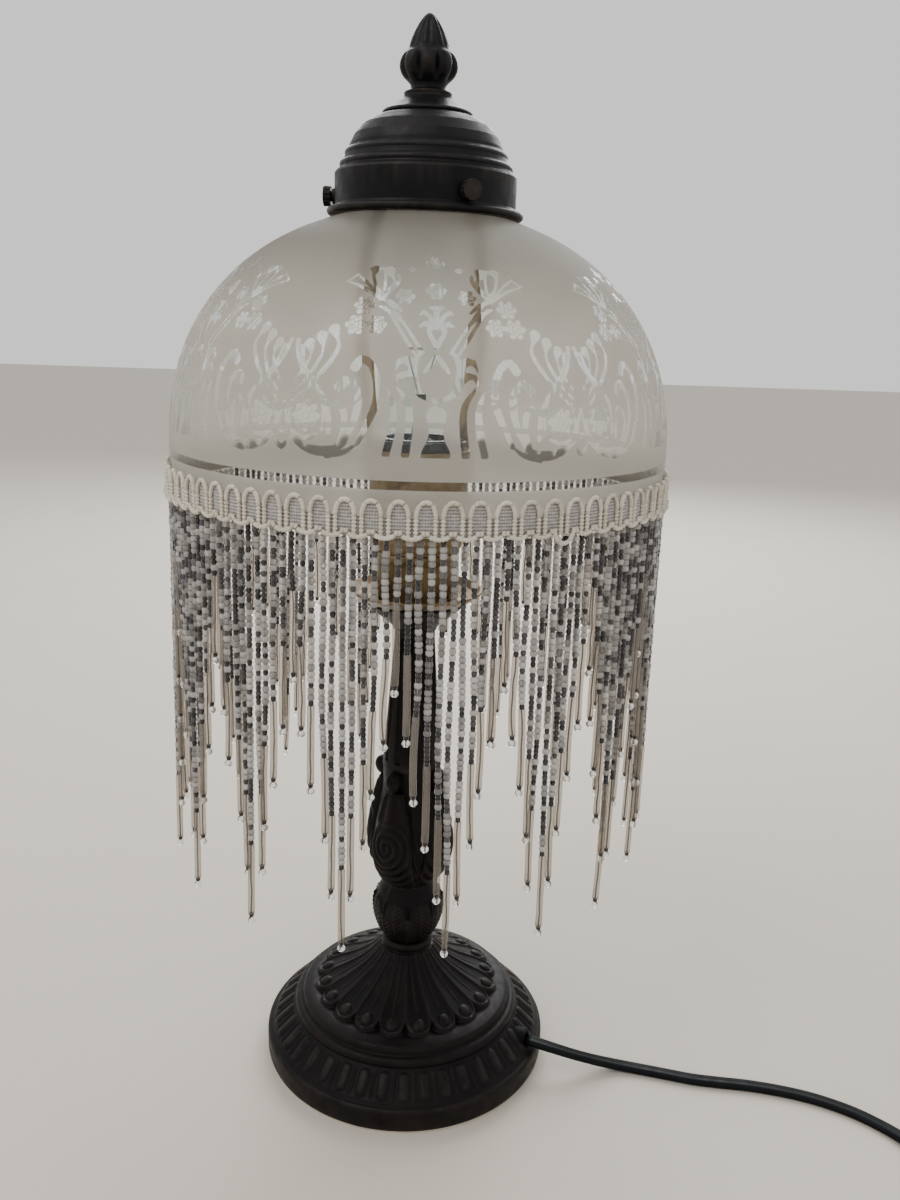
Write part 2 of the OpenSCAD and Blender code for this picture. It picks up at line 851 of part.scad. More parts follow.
module switch_cover() {
  top_z = switch_h - switch_wall;
  color("black") at_switch() difference() {
    union() {
      difference() {
        translate([0, 0, switch_split]) linear_extrude(switch_h - switch_split) switch_plan(0);
        translate([0, 0, switch_split - 1]) linear_extrude(top_z - switch_split + 1)
          switch_plan(switch_wall);
      }
      for (side = [-1, 1])
        translate([-3, side * (rocker_slot_w + cheek_t) / 2 - cheek_t / 2, 8])
          cube([6, cheek_t, top_z - 7.5]);
    }
    translate([-rocker_slot_l / 2, -rocker_slot_w / 2, switch_split])
      cube([rocker_slot_l, rocker_slot_w, 10]);
    translate([0, 0, rocker_z]) rotate([90, 0, 0])
      cylinder(h = rocker_slot_w + 2 * cheek_t + 1, r = pivot_r + 0.05, center = true);
  }
}

// Rocker on its pivot pin, pressed down at the end away from the lamp.
module switch_rocker() {
  color("ivory") at_switch() translate([0, 0, rocker_z]) rotate([0, rocker_tilt, 0])
    rotate([90, 0, 0]) {
      translate([0, 0, -rocker_w / 2]) linear_extrude(rocker_w) polygon([
        [-rocker_l / 2, 1.2], [-rocker_l / 2, 3.8], [0, 4.6], [rocker_l / 2, 3.8],
        [rocker_l / 2, 1.2], [3, -1.6], [-3, -1.6]
      ]);
      cylinder(h = rocker_slot_w + 2 * cheek_t - 0.4, r = pivot_r, center = true);
    }
}

plug_at = [327, 8];
plug_z = 6.9;
plug_w = 35;
plug_h = 13.6;
plug_l = 34;
relief_l = 20;
pin_gap = 18.6;

module at_plug() {
  translate([plug_at.x, plug_at.y, plug_z]) rotate([-90, 0, 0]) children();
}

module plug_body() {
  color("black") at_plug() {
    cylinder(h = relief_l, r1 = 3.6, r2 = 5.6);
    translate([0, 0, relief_l]) intersection() {
      translate([0, plug_h / 2, 0]) rotate([90, 0, 0]) linear_extrude(plug_h) polygon([
        [-6, 0], [-plug_w / 2, 16], [-plug_w / 2, plug_l], [plug_w / 2, plug_l],
        [plug_w / 2, 16], [6, 0]
      ]);
      rotate([90, 0, 90]) translate([0, 0, -plug_w / 2]) linear_extrude(plug_w) polygon([
        [-5, 0], [-plug_h / 2, 8], [-plug_h / 2, plug_l], [plug_h / 2, plug_l],
        [plug_h / 2, 8], [5, 0]
      ]);
    }
  }
}

module plug_pins() {
  pin_r = 2;
  pin_l = 19;
  color("silver") at_plug() translate([0, 0, relief_l + plug_l])
    for (side = [-1, 1])
      translate([side * pin_gap / 2, 0, 0]) {
        cylinder(h = pin_l - pin_r, r = pin_r);
        translate([0, 0, pin_l - pin_r]) sphere(r = pin_r);
      }
}

felt_pad();
cover_plate();
cover_screws();
base_weight();
base();
foot_washer();
foot_nut();
cord_grommet();
cord_clamp();
inner_flex();
collar();
knob();
baluster();
column();
cup();
dish();
stem_tube();
holder_nut();
holder_cap();
holder_shell();
holder_insulator();
thread_sleeve();
holder_contacts();
shade_ring();
harp();
harp_stud();
bulb_cap();
bulb_glass();
bulb_mount();
filament();
cap();
glass();
braid();
fringe();
thumb_screw(0);  // thumb_screw_1
thumb_screw(1);  // thumb_screw_2
thumb_screw(2);  // thumb_screw_3
finial();
cord();
cord_coil();
coil_tie();
switch_base();
switch_contacts();
switch_cover();
switch_rocker();
plug_body();
plug_pins();
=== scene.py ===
"""Looks of a table lamp with an etched glass dome, a bead fringe and a cast bronze stem.

Metres, +Z up. The origin is the centre of the felt under the base, and -Y faces the viewer.
"""

import math
import random

import bmesh
import bpy
import numpy as np
from mathutils import Matrix, Vector


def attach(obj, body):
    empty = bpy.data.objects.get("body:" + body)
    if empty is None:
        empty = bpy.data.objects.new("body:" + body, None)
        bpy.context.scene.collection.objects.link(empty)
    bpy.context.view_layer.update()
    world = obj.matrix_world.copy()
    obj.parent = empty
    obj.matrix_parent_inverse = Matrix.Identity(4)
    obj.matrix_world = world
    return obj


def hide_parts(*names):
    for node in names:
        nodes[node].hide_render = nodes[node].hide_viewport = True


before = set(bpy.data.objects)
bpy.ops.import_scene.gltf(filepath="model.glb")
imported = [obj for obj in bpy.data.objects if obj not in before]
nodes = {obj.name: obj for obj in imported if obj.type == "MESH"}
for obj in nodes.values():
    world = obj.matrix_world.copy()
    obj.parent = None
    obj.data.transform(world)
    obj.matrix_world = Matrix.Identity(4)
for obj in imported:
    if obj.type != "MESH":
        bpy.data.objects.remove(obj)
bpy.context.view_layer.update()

MM = 0.001


# ---------- Camera ----------

CAMERA_PLACE = (0, -0.4313, 0.3332)
CAMERA_PITCH = 15.03  # degrees below the horizon
CAMERA_YAW = 1.96
CAMERA_ROLL = 1.93
CAMERA_LENS = 31.16
CAMERA_SENSOR = 36


def make_camera():
    data = bpy.data.cameras.new("camera")
    data.lens = CAMERA_LENS
    data.sensor_width = CAMERA_SENSOR
    data.clip_start = 0.01
    camera = bpy.data.objects.new("camera", data)
    camera.matrix_world = (
        Matrix.Translation(CAMERA_PLACE)
        @ Matrix.Rotation(math.radians(-CAMERA_YAW), 4, "Z")
        @ Matrix.Rotation(math.radians(90 - CAMERA_PITCH), 4, "X")
        @ Matrix.Rotation(math.radians(CAMERA_ROLL), 4, "Z")
    )
    bpy.context.scene.collection.objects.link(camera)
    bpy.context.scene.camera = camera


# ---------- Mesh helpers ----------


def new_piece(name, points, faces, look, smooth=True):
    """A mesh object with one material."""
    mesh = bpy.data.meshes.new(name)
    mesh.from_pydata(points, [], faces)
    mesh.materials.append(look)
    mesh.polygons.foreach_set("use_smooth", [smooth] * len(faces))
    mesh.update()
    piece = bpy.data.objects.new(name, mesh)
    bpy.context.scene.collection.objects.link(piece)
    return piece


def store(piece, name, values):
    """Stores a number for each point of a piece's mesh."""
    attribute = piece.data.attributes.new(name, "FLOAT", "POINT")
    attribute.data.foreach_set("value", values)


def grid_faces(rows, columns, closed=False):
    """Quads of a grid of points listed row by row; closed joins the last column to the first."""
    last = columns if closed else columns - 1
    return [
        (
            r * columns + c,
            r * columns + (c + 1) % columns,
            (r + 1) * columns + (c + 1) % columns,
            (r + 1) * columns + c,
        )
        for r in range(rows - 1)
        for c in range(last)
    ]


def tube_faces(rings, sides):
    """Faces of a tube listed ring by ring, closed at both ends."""
    last = (rings - 1) * sides
    faces = grid_faces(rings, sides, closed=True)
    faces.append(tuple(reversed(range(sides))))
    faces.append(tuple(last + k for k in range(sides)))
    return faces


def direction(path, i):
    """The way a path runs at its point i."""
    return (path[min(i + 1, len(path) - 1)] - path[max(i - 1, 0)]).normalized()


def round_section(radius, sides):
    """Points of a circle as (sideways, up)."""
    turns = [2 * math.pi * k / sides for k in range(sides)]
    return [(radius * math.cos(a), radius * math.sin(a)) for a in turns]


def smooth_line(points, step):
    """A curve through the points (Catmull-Rom), with a point about every step."""
    line = [Vector(p) for p in points]
    line = [2 * line[0] - line[1]] + line + [2 * line[-1] - line[-2]]
    out = []
    for a, b, c, d in zip(line, line[1:], line[2:], line[3:]):
        count = max(1, round((c - b).length / step))
        for k in range(count):
            t = k / count
            out.append(
                0.5
                * (
                    2 * b
                    + (c - a) * t
                    + (2 * a - 5 * b + 4 * c - d) * t * t
                    + (3 * b - a - 3 * c + d) * t * t * t
                )
            )
    out.append(line[-2])
    return out


def swept(path, section):
    """Points and faces of a tube with the given [sideways, up] section, kept level along its path."""
    points = []
    for i, here in enumerate(path):
        along = direction(path, i)
        side = along.cross(Vector((0, 0, 1))).normalized()
        up = side.cross(along)
        points += [here + side * x + up * z for x, z in section]
    return points, tube_faces(len(path), len(section))


# ---------- Materials ----------


class Look:
    """A procedural material, built node by node round one Principled shader."""

    def __init__(self, name):
        self.material = bpy.data.materials.new(name)
        self.material.use_nodes = True
        self.tree = self.material.node_tree
        self.shader = self.tree.nodes["Principled BSDF"]
        self.output = self.tree.nodes["Material Output"]

    def add(self, kind, inputs=None, **settings):
        """A new node with these settings and inputs; an input is a value or another node's socket."""
        node = self.tree.nodes.new("ShaderNode" + kind)
        for name, value in settings.items():
            setattr(node, name, value)
        for name, value in (inputs or {}).items():
            self.put(node.inputs[name], value)
        return node

    def put(self, socket, value):
        if isinstance(value, bpy.types.NodeSocket):
            self.tree.links.new(value, socket)
        else:
            socket.default_value = value

    def surface(self, **inputs):
        """Sets the shader's inputs; base_color stands for Base Color."""
        for name, value in inputs.items():
            self.put(self.shader.inputs[name.replace("_", " ").title()], value)

    def place(self, stretch=(1, 1, 1)):
        """The place on the piece in metres, stretched along each axis."""
        here = self.add("TexCoord").outputs["Object"]
        if stretch == (1, 1, 1):
            return here
        return self.add("Mapping", {"Vector": here, "Scale": stretch}).outputs["Vector"]

    def noise(self, scale, detail=3.0, roughness=0.55, stretch=(1, 1, 1)):
        """Soft random values from 0 to 1, with scale lumps per metre."""
        inputs = {"Vector": self.place(stretch), "Scale": scale, "Detail": detail}
        inputs["Roughness"] = roughness
        return self.add("TexNoise", inputs).outputs["Fac"]

    def span(self, value, low, high, to_low=0.0, to_high=1.0):
        """Maps low..high to to_low..to_high, clamped."""
        inputs = {"Value": value, "From Min": low, "From Max": high}
        inputs.update({"To Min": to_low, "To Max": to_high})
        return self.add("MapRange", inputs).outputs["Result"]

    def math(self, operation, a, b=0.0):
        node = self.add("Math", operation=operation)
        self.put(node.inputs[0], a)
        self.put(node.inputs[1], b)
        return node.outputs[0]

    def mix(self, share, a, b):
        """Colour a blended towards colour b by share."""
        node = self.add("Mix", data_type="RGBA")
        self.put(node.inputs["Factor"], share)
        self.put(node.inputs[6], a)
        self.put(node.inputs[7], b)
        return node.outputs[2]

    def attribute(self, name):
        """A value stored with the mesh's points."""
        return self.add("Attribute", attribute_name=name).outputs["Fac"]

    def wear_and_highlight(self, low=0.505, high=0.56):
        """1 on sharp outer edges and 0 elsewhere."""
        return self.span(self.add("NewGeometry").outputs["Pointiness"], low, high)

    def bump(self, height, distance, strength=1.0, under=None):
        """A surface direction that follows height, whose 0..1 stands for distance metres."""
        inputs = {"Height": height, "Distance": distance, "Strength": strength}
        if under is not None:
            inputs["Normal"] = under
        return self.add("Bump", inputs).outputs["Normal"]


def rgb(red, green, blue):
    return (red, green, blue, 1.0)


def aged_metal(name, dark, light, wear_and_highlight, roughness, metallic=0.9, specular=0.5, edge=0.5):
    """Cast or spun metal with a mottled patina, and brighter metal on sharp edges and raised ridges:
    partly wear from hands and cloths, partly a painted highlight.
    """
    look = Look(name)
    blotch = look.noise(55, detail=5)
    patina = look.mix(look.span(blotch, 0.35, 0.7), dark, light)
    # Partly painted highlight: edges and raised ridges get a lighter colour, which stands for rubbing
    # wear and also for highlights that light makes on them.
    ridge = look.math("MAXIMUM", look.wear_and_highlight(), look.span(look.attribute("relief"), 0.15, 1.3))
    rubbed_and_highlit = look.math("MULTIPLY", ridge, look.span(look.noise(160), 0.3, 0.65))
    colour = look.mix(look.math("MULTIPLY", rubbed_and_highlit, edge), patina, wear_and_highlight)
    grain = look.noise(1400, detail=2)
    rough = look.span(look.noise(240, detail=4), 0.3, 0.7, roughness - 0.08, roughness + 0.1)
    look.surface(base_color=colour, metallic=metallic, roughness=rough)
    look.shader.inputs["Specular IOR Level"].default_value = specular
    look.surface(normal=look.bump(grain, 0.00004, 0.6))
    return look.material


def moulded(name, colour, roughness=0.42, grain=0.00003, specular=0.5):
    """Moulded plastic or rubber with a fine grain and faint handling marks."""
    look = Look(name)
    smear = look.span(look.noise(90, detail=4), 0.3, 0.75)
    paler = rgb(*(min(1.0, c * 1.5 + 0.002) for c in colour[:3]))
    look.shader.inputs["Specular IOR Level"].default_value = specular
    look.surface(base_color=look.mix(smear, colour, paler))
    look.surface(roughness=look.span(look.noise(300), 0.3, 0.7, roughness - 0.07, roughness + 0.1))
    look.surface(normal=look.bump(look.noise(2600, detail=2), grain, 0.7))
    return look.material


def etched_glass():
    """Acid-frosted glass that passes a soft light; its clear strokes show what is behind."""
    look = Look("etched_glass_look")
    tree = look.tree
    cloud = look.span(look.noise(14, detail=3), 0.35, 0.65)
    body = look.mix(cloud, rgb(0.73, 0.695, 0.635), rgb(0.78, 0.755, 0.7))
    height = look.add("SeparateXYZ", {"Vector": look.place()}).outputs["Z"]
    # Painted shade: the frost darkens towards the neck, where the cap shades the glass.
    tint = look.mix(look.span(height, 0.33, 0.368), body, rgb(0.27, 0.26, 0.24))
    grain = look.noise(2200, detail=2)
    look.surface(base_color=tint, roughness=0.42, normal=look.bump(grain, 0.00003, 0.5))
    look.shader.inputs["Specular IOR Level"].default_value = 0.35
    through = look.add("BsdfTranslucent", {"Color": tint})
    blurred = look.add("BsdfRefraction", {"Color": tint, "Roughness": 0.45, "IOR": 1.12})
    passed = look.add("MixShader", {"Fac": 0.5})
    tree.links.new(through.outputs[0], passed.inputs[1])
    tree.links.new(blurred.outputs[0], passed.inputs[2])
    frost = look.add("MixShader", {"Fac": 0.8})
    tree.links.new(look.shader.outputs[0], frost.inputs[1])
    tree.links.new(passed.outputs[0], frost.inputs[2])
    open_glass = clear_glass_shader(look, rgb(0.96, 0.97, 0.96))
    edge = look.span(look.attribute("clear_edge"), -0.12, 0.22)
    both = look.add("MixShader", {"Fac": edge})
    tree.links.new(open_glass, both.inputs[1])
    tree.links.new(frost.outputs[0], both.inputs[2])
    tree.links.new(both.outputs[0], look.output.inputs["Surface"])
    return look.material


def clear_glass_shader(look, tint, rough=0.03):
    """Thin clear glass: see-through, with a reflection that grows towards its edges."""
    clear = look.add("BsdfTransparent", {"Color": tint})
    gloss = look.add("BsdfGlossy", {"Roughness": rough})
    slant = look.add("LayerWeight", {"Blend": 0.5}).outputs["Facing"]
    shine = look.math("ADD", look.math("MULTIPLY", look.math("POWER", slant, 5.0), 0.6), 0.03)
    both = look.add("MixShader", {"Fac": shine})
    look.tree.links.new(clear.outputs[0], both.inputs[1])
    look.tree.links.new(gloss.outputs[0], both.inputs[2])
    return both.outputs[0]


def clear_glass(name, tint):
    look = Look(name)
    look.tree.links.new(clear_glass_shader(look, tint), look.output.inputs["Surface"])
    return look.material


def bead_glass(name, dark, pale, rim_wall_and_reflection, see_through, tint, rough=0.1):
    """Glass beads of mixed tones, see-through in the middle and closed by their wall at the rims, where
    the colour is partly the wall seen edge-on and partly a painted reflection.
    """
    look = Look(name)
    rim = look.span(look.add("LayerWeight", {"Blend": 0.3}).outputs["Facing"], 0.45, 0.85)
    body = look.mix(look.attribute("tone"), dark, pale)
    # Partly painted reflection: the rim colour, mixed in by viewing angle, stands for the glass wall
    # seen edge-on and also for the light the glass reflects and bends at its edges.
    look.surface(base_color=look.mix(rim, body, rim_wall_and_reflection), roughness=rough)
    clear = look.add("BsdfTransparent", {"Color": tint})
    both = look.add("MixShader", {"Fac": look.span(rim, 0, 1, see_through, see_through / 2)})
    look.tree.links.new(look.shader.outputs[0], both.inputs[1])
    look.tree.links.new(clear.outputs[0], both.inputs[2])
    look.tree.links.new(both.outputs[0], look.output.inputs["Surface"])
    return look.material


def solid_glass(name, tint):
    """A clear glass drop that bends what is behind it."""
    look = Look(name)
    look.surface(base_color=tint, roughness=0.04)
    look.shader.inputs["Transmission Weight"].default_value = 0.92
    look.shader.inputs["IOR"].default_value = 1.5
    return look.material


def woven(name, dark, pale, lay):
    """Cloth of fine threads running round the lamp, lay threads per metre of height."""
    look = Look(name)
    here = look.add("SeparateXYZ", {"Vector": look.place()}).outputs
    thread = look.math("SINE", look.math("MULTIPLY", here["Z"], lay * 2 * math.pi))
    turn = look.math("ARCTAN2", here["Y"], here["X"])
    stitch = look.math("SINE", look.math("MULTIPLY", turn, 700))
    weave = look.math("MULTIPLY", look.span(thread, -1, 1), look.span(stitch, -1, 1, 0.4, 1))
    weave = look.math("ADD", weave, look.span(look.noise(900, detail=4), 0.3, 0.7, -0.2, 0.3))
    look.surface(base_color=look.mix(look.span(weave, 0, 1), dark, pale), roughness=0.75)
    look.surface(normal=look.bump(weave, 0.00012, 0.8))
    look.shader.inputs["Sheen Weight"].default_value = 0.3
    return look.material


def corded(name, dark, pale):
    """Cream cord of fine twisted threads."""
    look = Look(name)
    fibre = look.noise(1500, detail=4, stretch=(1, 1, 2.5))
    piece_tone = look.math("MULTIPLY", look.attribute("tone"), 0.4)
    age = look.math("ADD", look.span(fibre, 0.3, 0.7, 0, 0.7), piece_tone)
    look.surface(base_color=look.mix(age, dark, pale), roughness=0.8)
    look.surface(normal=look.bump(fibre, 0.00015, 0.8))
    look.shader.inputs["Sheen Weight"].default_value = 0.3
    return look.material


# ---------- Cord ----------

CORD_WIDTH = 6 * MM
CORD_THICK = 3.2 * MM
CORD_STEP = 3 * MM

# Middle line of the flex in millimetres, as in the CAD part.
ROUTE_TO_SWITCH = [
    (56, -22.6, 14.6), (63, -25.2, 14), (71, -26.2, 11.9), (79, -25.6, 8.8), (87, -24.4, 5.6),
    (95, -23.8, 3.2), (103, -24.4, 1.9), (111, -26.2, 1.6), (120, -28.7, 1.6), (132, -32, 1.6),
    (144, -34, 1.6), (156, -35.7, 1.6), (168, -38.4, 1.6), (179, -41.8, 1.6), (189, -46.2, 1.6),
    (199, -52.2, 1.6), (207, -59, 1.6), (213, -66, 2), (218, -74, 2.8), (223, -82, 4.2),
    (229, -89, 5.8), (237, -94, 6.8), (246, -96, 7),
]
ROUTE_TO_COIL = [
    (304, -104, 7), (310, -104.6, 6.8), (316.5, -103.6, 6), (322, -101.4, 5.2), (327, -97.7, 4.4),
    (331, -92.9, 3.8), (334, -87, 3.2), (335.5, -80.5, 2.9), (335, -72, 2.7), (332.4, -63, 2.6),
    (328, -54, 2.6), (323.6, -47, 2.6),
]
ROUTE_TO_PLUG = [
    (318, -38, 9.2), (319.4, -29, 9), (321.8, -19, 8.4), (324.8, -10, 7.6), (326.8, -1, 7),
    (327, 7.9, 6.9),
]
COIL_AT = (284, -40)
COIL_RADII = (37.5, 25.5)
COIL_ROWS = (2.6, 5.9, 9.2)
COIL_TOP_RADIUS = 34
COIL_STEPS = 20


def coil_turns():
    """Turns of the coil in millimetres: a row inwards, a row outwards on it, and a last turn."""
    outer, inner = COIL_RADII
    keys = [
        (0, outer, COIL_ROWS[0]), (2, inner, COIL_ROWS[0]), (2.8, inner, COIL_ROWS[0]),
        (3.2, inner, COIL_ROWS[1]), (5.2, outer, COIL_ROWS[1]), (5.6, outer - 1, COIL_ROWS[1]),
        (6, COIL_TOP_RADIUS, COIL_ROWS[2]), (7, COIL_TOP_RADIUS, COIL_ROWS[2]),
    ]
    points = []
    for (start, r0, z0), (end, r1, z1) in zip(keys, keys[1:]):
        steps = round((end - start) * COIL_STEPS)
        for k in range(steps):
            share = k / steps
            angle = 2 * math.pi * (start + (end - start) * share)
            radius = r0 + (r1 - r0) * share
            across = Vector((math.cos(angle), math.sin(angle), 0)) * radius
            points.append(across + Vector((*COIL_AT, z0 + (z1 - z0) * share)))
    return points


def flex_section():
    """Two round cores side by side, moulded together with a groove between them."""
    core = CORD_THICK / 2
    middle = CORD_WIDTH / 2 - core
    steps = 7
    side = [
        (middle + core * math.cos(a), core * math.sin(a))
        for a in (math.radians(-128 + 256 * k / steps) for k in range(steps + 1))
    ]
    return side + [(-x, -z) for x, z in side]


def make_cord(look):
    route = ROUTE_TO_SWITCH + ROUTE_TO_COIL + coil_turns() + ROUTE_TO_PLUG
    path = smooth_line([Vector(p) * MM for p in route], CORD_STEP)
    points, faces = swept(path, flex_section())
    piece = new_piece("mains_flex", points, faces, look)
    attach(piece, "stand")
    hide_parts("cord", "cord_coil")


# ---------- Cast and turned metal ----------

BASE_COLUMNS = 800
SCALLOPS = 20
SCALLOP_TURN = math.radians(9)
FLUTES = 40
# Outlines in millimetres, radius and height, which run from the top outwards and down.
DOME_LINE = [
    (12.7, 50.6), (14, 48.9), (16, 46.8), (20, 43.3), (26, 39.4), (32, 36.2), (38, 33.2), (43.6, 30.9),
]
LEDGE_HEIGHT = 30.2
BAND_LINE = [
    (46.2, 29.3), (47.2, 29), (48, 28.3), (48.5, 27.3), (48.7, 26.2), (49, 25.7), (49.8, 25.6),
    (50.8, 25.3), (51.6, 24.6), (52, 23.6), (52.1, 22.6), (51.9, 21.9),
]
FLUTE_LINE = [(52.3, 21.5), (54.8, 18.9), (57.6, 16.3), (60, 14), (62, 12.4)]
PLINTH_LINE = [
    (62.5, 11.6), (63, 11.2), (63.8, 11.1), (64.5, 10.7), (64.9, 10), (65, 9), (65, 2), (64.7, 1.05),
]
BASE_INNER_LINE = [
    (61.1, 1.05), (61.1, 7.6), (57, 9.6), (49, 17.8), (41, 25), (30, 31), (18, 36), (12, 39.5),
    (5.1, 39.5), (5.1, 51), (11.9, 51),
]
LOBE_CIRCLE = 36.8  # how far out the middles of the scallops' round ends are
LOBE_RADIUS = LOBE_CIRCLE * math.sin(math.pi / SCALLOPS)
EYE_OUT = 1.3  # how far the eye is beyond the middle of its lobe
EYE_RADIUS = 2.7
EYE_RISE = 1.5
TROUGH_DEPTH = 0.6
RIDGE_RISE = 0.65
RIDGE_WIDTH = 0.5
RIDGE_INSET = 0.5
RIB_RISE = 0.3
TONGUE_HALF_WIDTH = 2.3
TONGUE_RISE = 1.0
TONGUE_STRAIGHT = 3.4
FILLET_RISE = 0.55
OUTLET_TURN = -22
OUTLET_HEIGHT = 14.6 * MM
OUTLET_RADIUS = 5 * MM
OUTLET_FROM = 40 * MM
OUTLET_TO = 60.2 * MM

KNOB_LINE = [
    (5.1, 84.6), (11.4, 84.55), (12.1, 82.9), (13.9, 79.6), (15.1, 75.5), (15.6, 70.8), (15.2, 66.2),
    (13.9, 62), (12.1, 58.8), (11, 57.1), (5.1, 57),
]
KNOB_LEAF_ROWS = [(63.5, 0), (70.5, 22.5)]  # height of each row's middle, and its turn
KNOB_BAND = 79  # height where the smooth shoulder above the leaves begins
KNOB_LEAVES = 8

BALUSTER_CORE = [
    (12.8, 141.9), (12.6, 138), (12.5, 133), (12.9, 128), (13.8, 122), (15.2, 115), (16.1, 108),
    (16.2, 102), (15.4, 96), (14.2, 91), (12.8, 87.4), (11.6, 84.7),
]
BALUSTER_CREST = [
    (13.4, 141.9), (17.4, 140.6), (18.6, 137.4), (17.6, 134.4), (16, 132.4), (16.7, 130),
    (17.9, 124.6), (19, 118), (19.8, 111.5), (20.2, 105.5), (20, 101), (19.2, 97), (17.3, 92.3),
    (14.9, 88.2), (11.6, 84.7),
]
BALUSTER_TOP, BALUSTER_FOOT = 141.9, 84.7
BALUSTER_LEAVES = 4
BALUSTER_TURN = math.radians(-121)
SCROLL_HEIGHT = 137.3
LEAF_FOOT = 132.4  # height where the upper scroll ends and the leaf begins
LEAF_HEIGHTS = [85, 93, 107, 122, LEAF_FOOT]
LEAF_HALF_WIDTHS = [9, 12.5, 13, 9.5, 5.5]
VOLUTE_HEIGHT = 107.5
VOLUTE_PITCH = 3.2

FINIAL_LINE = [
    (0.3, 443.95), (1, 443.7), (2.1, 442.8), (3.3, 441.2), (4.7, 438.8), (6, 436.2), (7, 433.6),
    (7.7, 431.2), (8.3, 430.6), (9.4, 429.4), (10.1, 427.2), (10.2, 424.8), (9.4, 422.4),
    (7.9, 420.4), (6.8, 419), (6.8, 417.6), (7.5, 417), (9.1, 416.4), (9.2, 415.8), (9.1, 415.35),
    (2.95, 415.3),
]
FINIAL_BORE = [(2.95, 415.4), (2.95, 428.9), (0.3, 429)]
CROWN_LOW, CROWN_HIGH = 420, 431
CROWN_LOBES = 8
BUD_RIBS = 14


def soft_step(value):
    """0 below 0, 1 above 1, and smooth between."""
    held = np.clip(value, 0, 1)
    return held * held * (3 - 2 * held)


def smooth_rows(line, step):
    """The outline as smooth rows of [radius, height] about a step apart."""
    return np.array([[p.x, p.y] for p in smooth_line([(r, z, 0) for r, z in line], step)])


def even_angles(columns):
    return np.linspace(0, 2 * math.pi, columns, endpoint=False)


def from_nearest(angles, count, turn=0.0):
    """Angle from the middle of the nearest of count equal parts, as one row."""
    part = 2 * math.pi / count
    return ((angles - turn + part / 2) % part - part / 2)[None, :]


def lifted(rows, relief):
    """Radii, heights and relief of outline rows lifted along their normals by the relief."""
    along = np.gradient(rows, axis=0)
    along /= np.linalg.norm(along, axis=1, keepdims=True)
    return rows[:, :1] - along[:, 1:] * relief, rows[:, 1:] + along[:, :1] * relief, relief


def plain(line, columns):
    """Radii, heights and relief of rows with nothing carved on them."""
    rows = np.array(line, dtype=float)
    return rows[:, :1], rows[:, 1:], np.zeros((len(line), columns))


def turned_piece(name, bands, look, capped=False):
    """A closed piece from bands of rows, which run down the outside and back up the bore."""
    relief = np.vstack([band[2] for band in bands])
    radii = np.vstack([np.broadcast_to(band[0], band[2].shape) for band in bands]) * MM
    heights = np.vstack([np.broadcast_to(band[1], band[2].shape) for band in bands]) * MM
    rows, columns = relief.shape
    angles = even_angles(columns)
    points = np.stack([radii * np.cos(angles), radii * np.sin(angles), heights], axis=2)
    count = rows * columns
    faces = grid_faces(rows if capped else rows + 1, columns, closed=True)
    faces = [tuple(v % count for v in reversed(face)) for face in faces]
    if capped:
        faces.append(tuple(range(columns)))
        faces.append(tuple(reversed(range(count - columns, count))))
    piece = new_piece(name, points.reshape(-1, 3).tolist(), faces, look)
    piece.data.set_sharp_from_angle(angle=math.radians(55))
    store(piece, "relief", relief.ravel())
    return piece


def scalloped_dome(angles):
    """The dome: ribbed troughs between fine ridges, each with an eye in its round end."""
    rows = smooth_rows(DOME_LINE, 0.5)
    radii = rows[:, :1]
    local = from_nearest(angles, SCALLOPS, SCALLOP_TURN)
    across = np.abs(radii * np.sin(local))
    out = radii * np.cos(local) - LOBE_CIRCLE
    width = np.where(out > 0, LOBE_RADIUS, radii * math.sin(math.pi / SCALLOPS))
    inside = width - np.where(out > 0, np.hypot(across, out), across)
    ridge_at = RIDGE_INSET * soft_step((out + 3) / 3)
    ridge = RIDGE_RISE * np.exp(-(((inside - ridge_at) / RIDGE_WIDTH) ** 2))
    open_part = np.clip(inside / width, 0, 1)
    trough = TROUGH_DEPTH * np.clip((radii - 13) / 15, 0.2, 1) * open_part * (2 - open_part)
    rib = RIB_RISE * np.exp(-((across / 0.5) ** 2)) * soft_step((35 - radii) / 4)
    eye_away = np.hypot(across, out - EYE_OUT)
    eye = EYE_RISE * np.sqrt(np.maximum(0, 1 - (eye_away / EYE_RADIUS) ** 2))
    edge = 1 - (1 - soft_step((inside + 0.5) / 1.0)) * soft_step(out / 1.5)
    relief = (ridge - trough + rib + eye) * edge
    heights = LEDGE_HEIGHT + (rows[:, 1:] - LEDGE_HEIGHT) * edge + relief
    return radii, heights, relief


def fluted_ring(angles):
    """The sloping ring of upright tongues, with a thin fillet between each two."""
    rows = smooth_rows(FLUTE_LINE, 0.55)
    along = np.linspace(-0.5, 0.5, len(rows))[:, None] * math.dist(rows[0], rows[-1])
    across = np.abs(rows[:, :1] * from_nearest(angles, FLUTES))
    half = rows[:, :1] * math.pi / FLUTES
    away = np.hypot(across, np.maximum(0, np.abs(along) - TONGUE_STRAIGHT))
    tongue = TONGUE_RISE * np.sqrt(np.maximum(0, 1 - (away / TONGUE_HALF_WIDTH) ** 2))
    ends = soft_step((TONGUE_STRAIGHT + TONGUE_HALF_WIDTH - np.abs(along)) / 0.8)
    fillet = FILLET_RISE * np.exp(-(((half - across) / 0.45) ** 2)) * ends
    return lifted(rows, tongue + fillet)


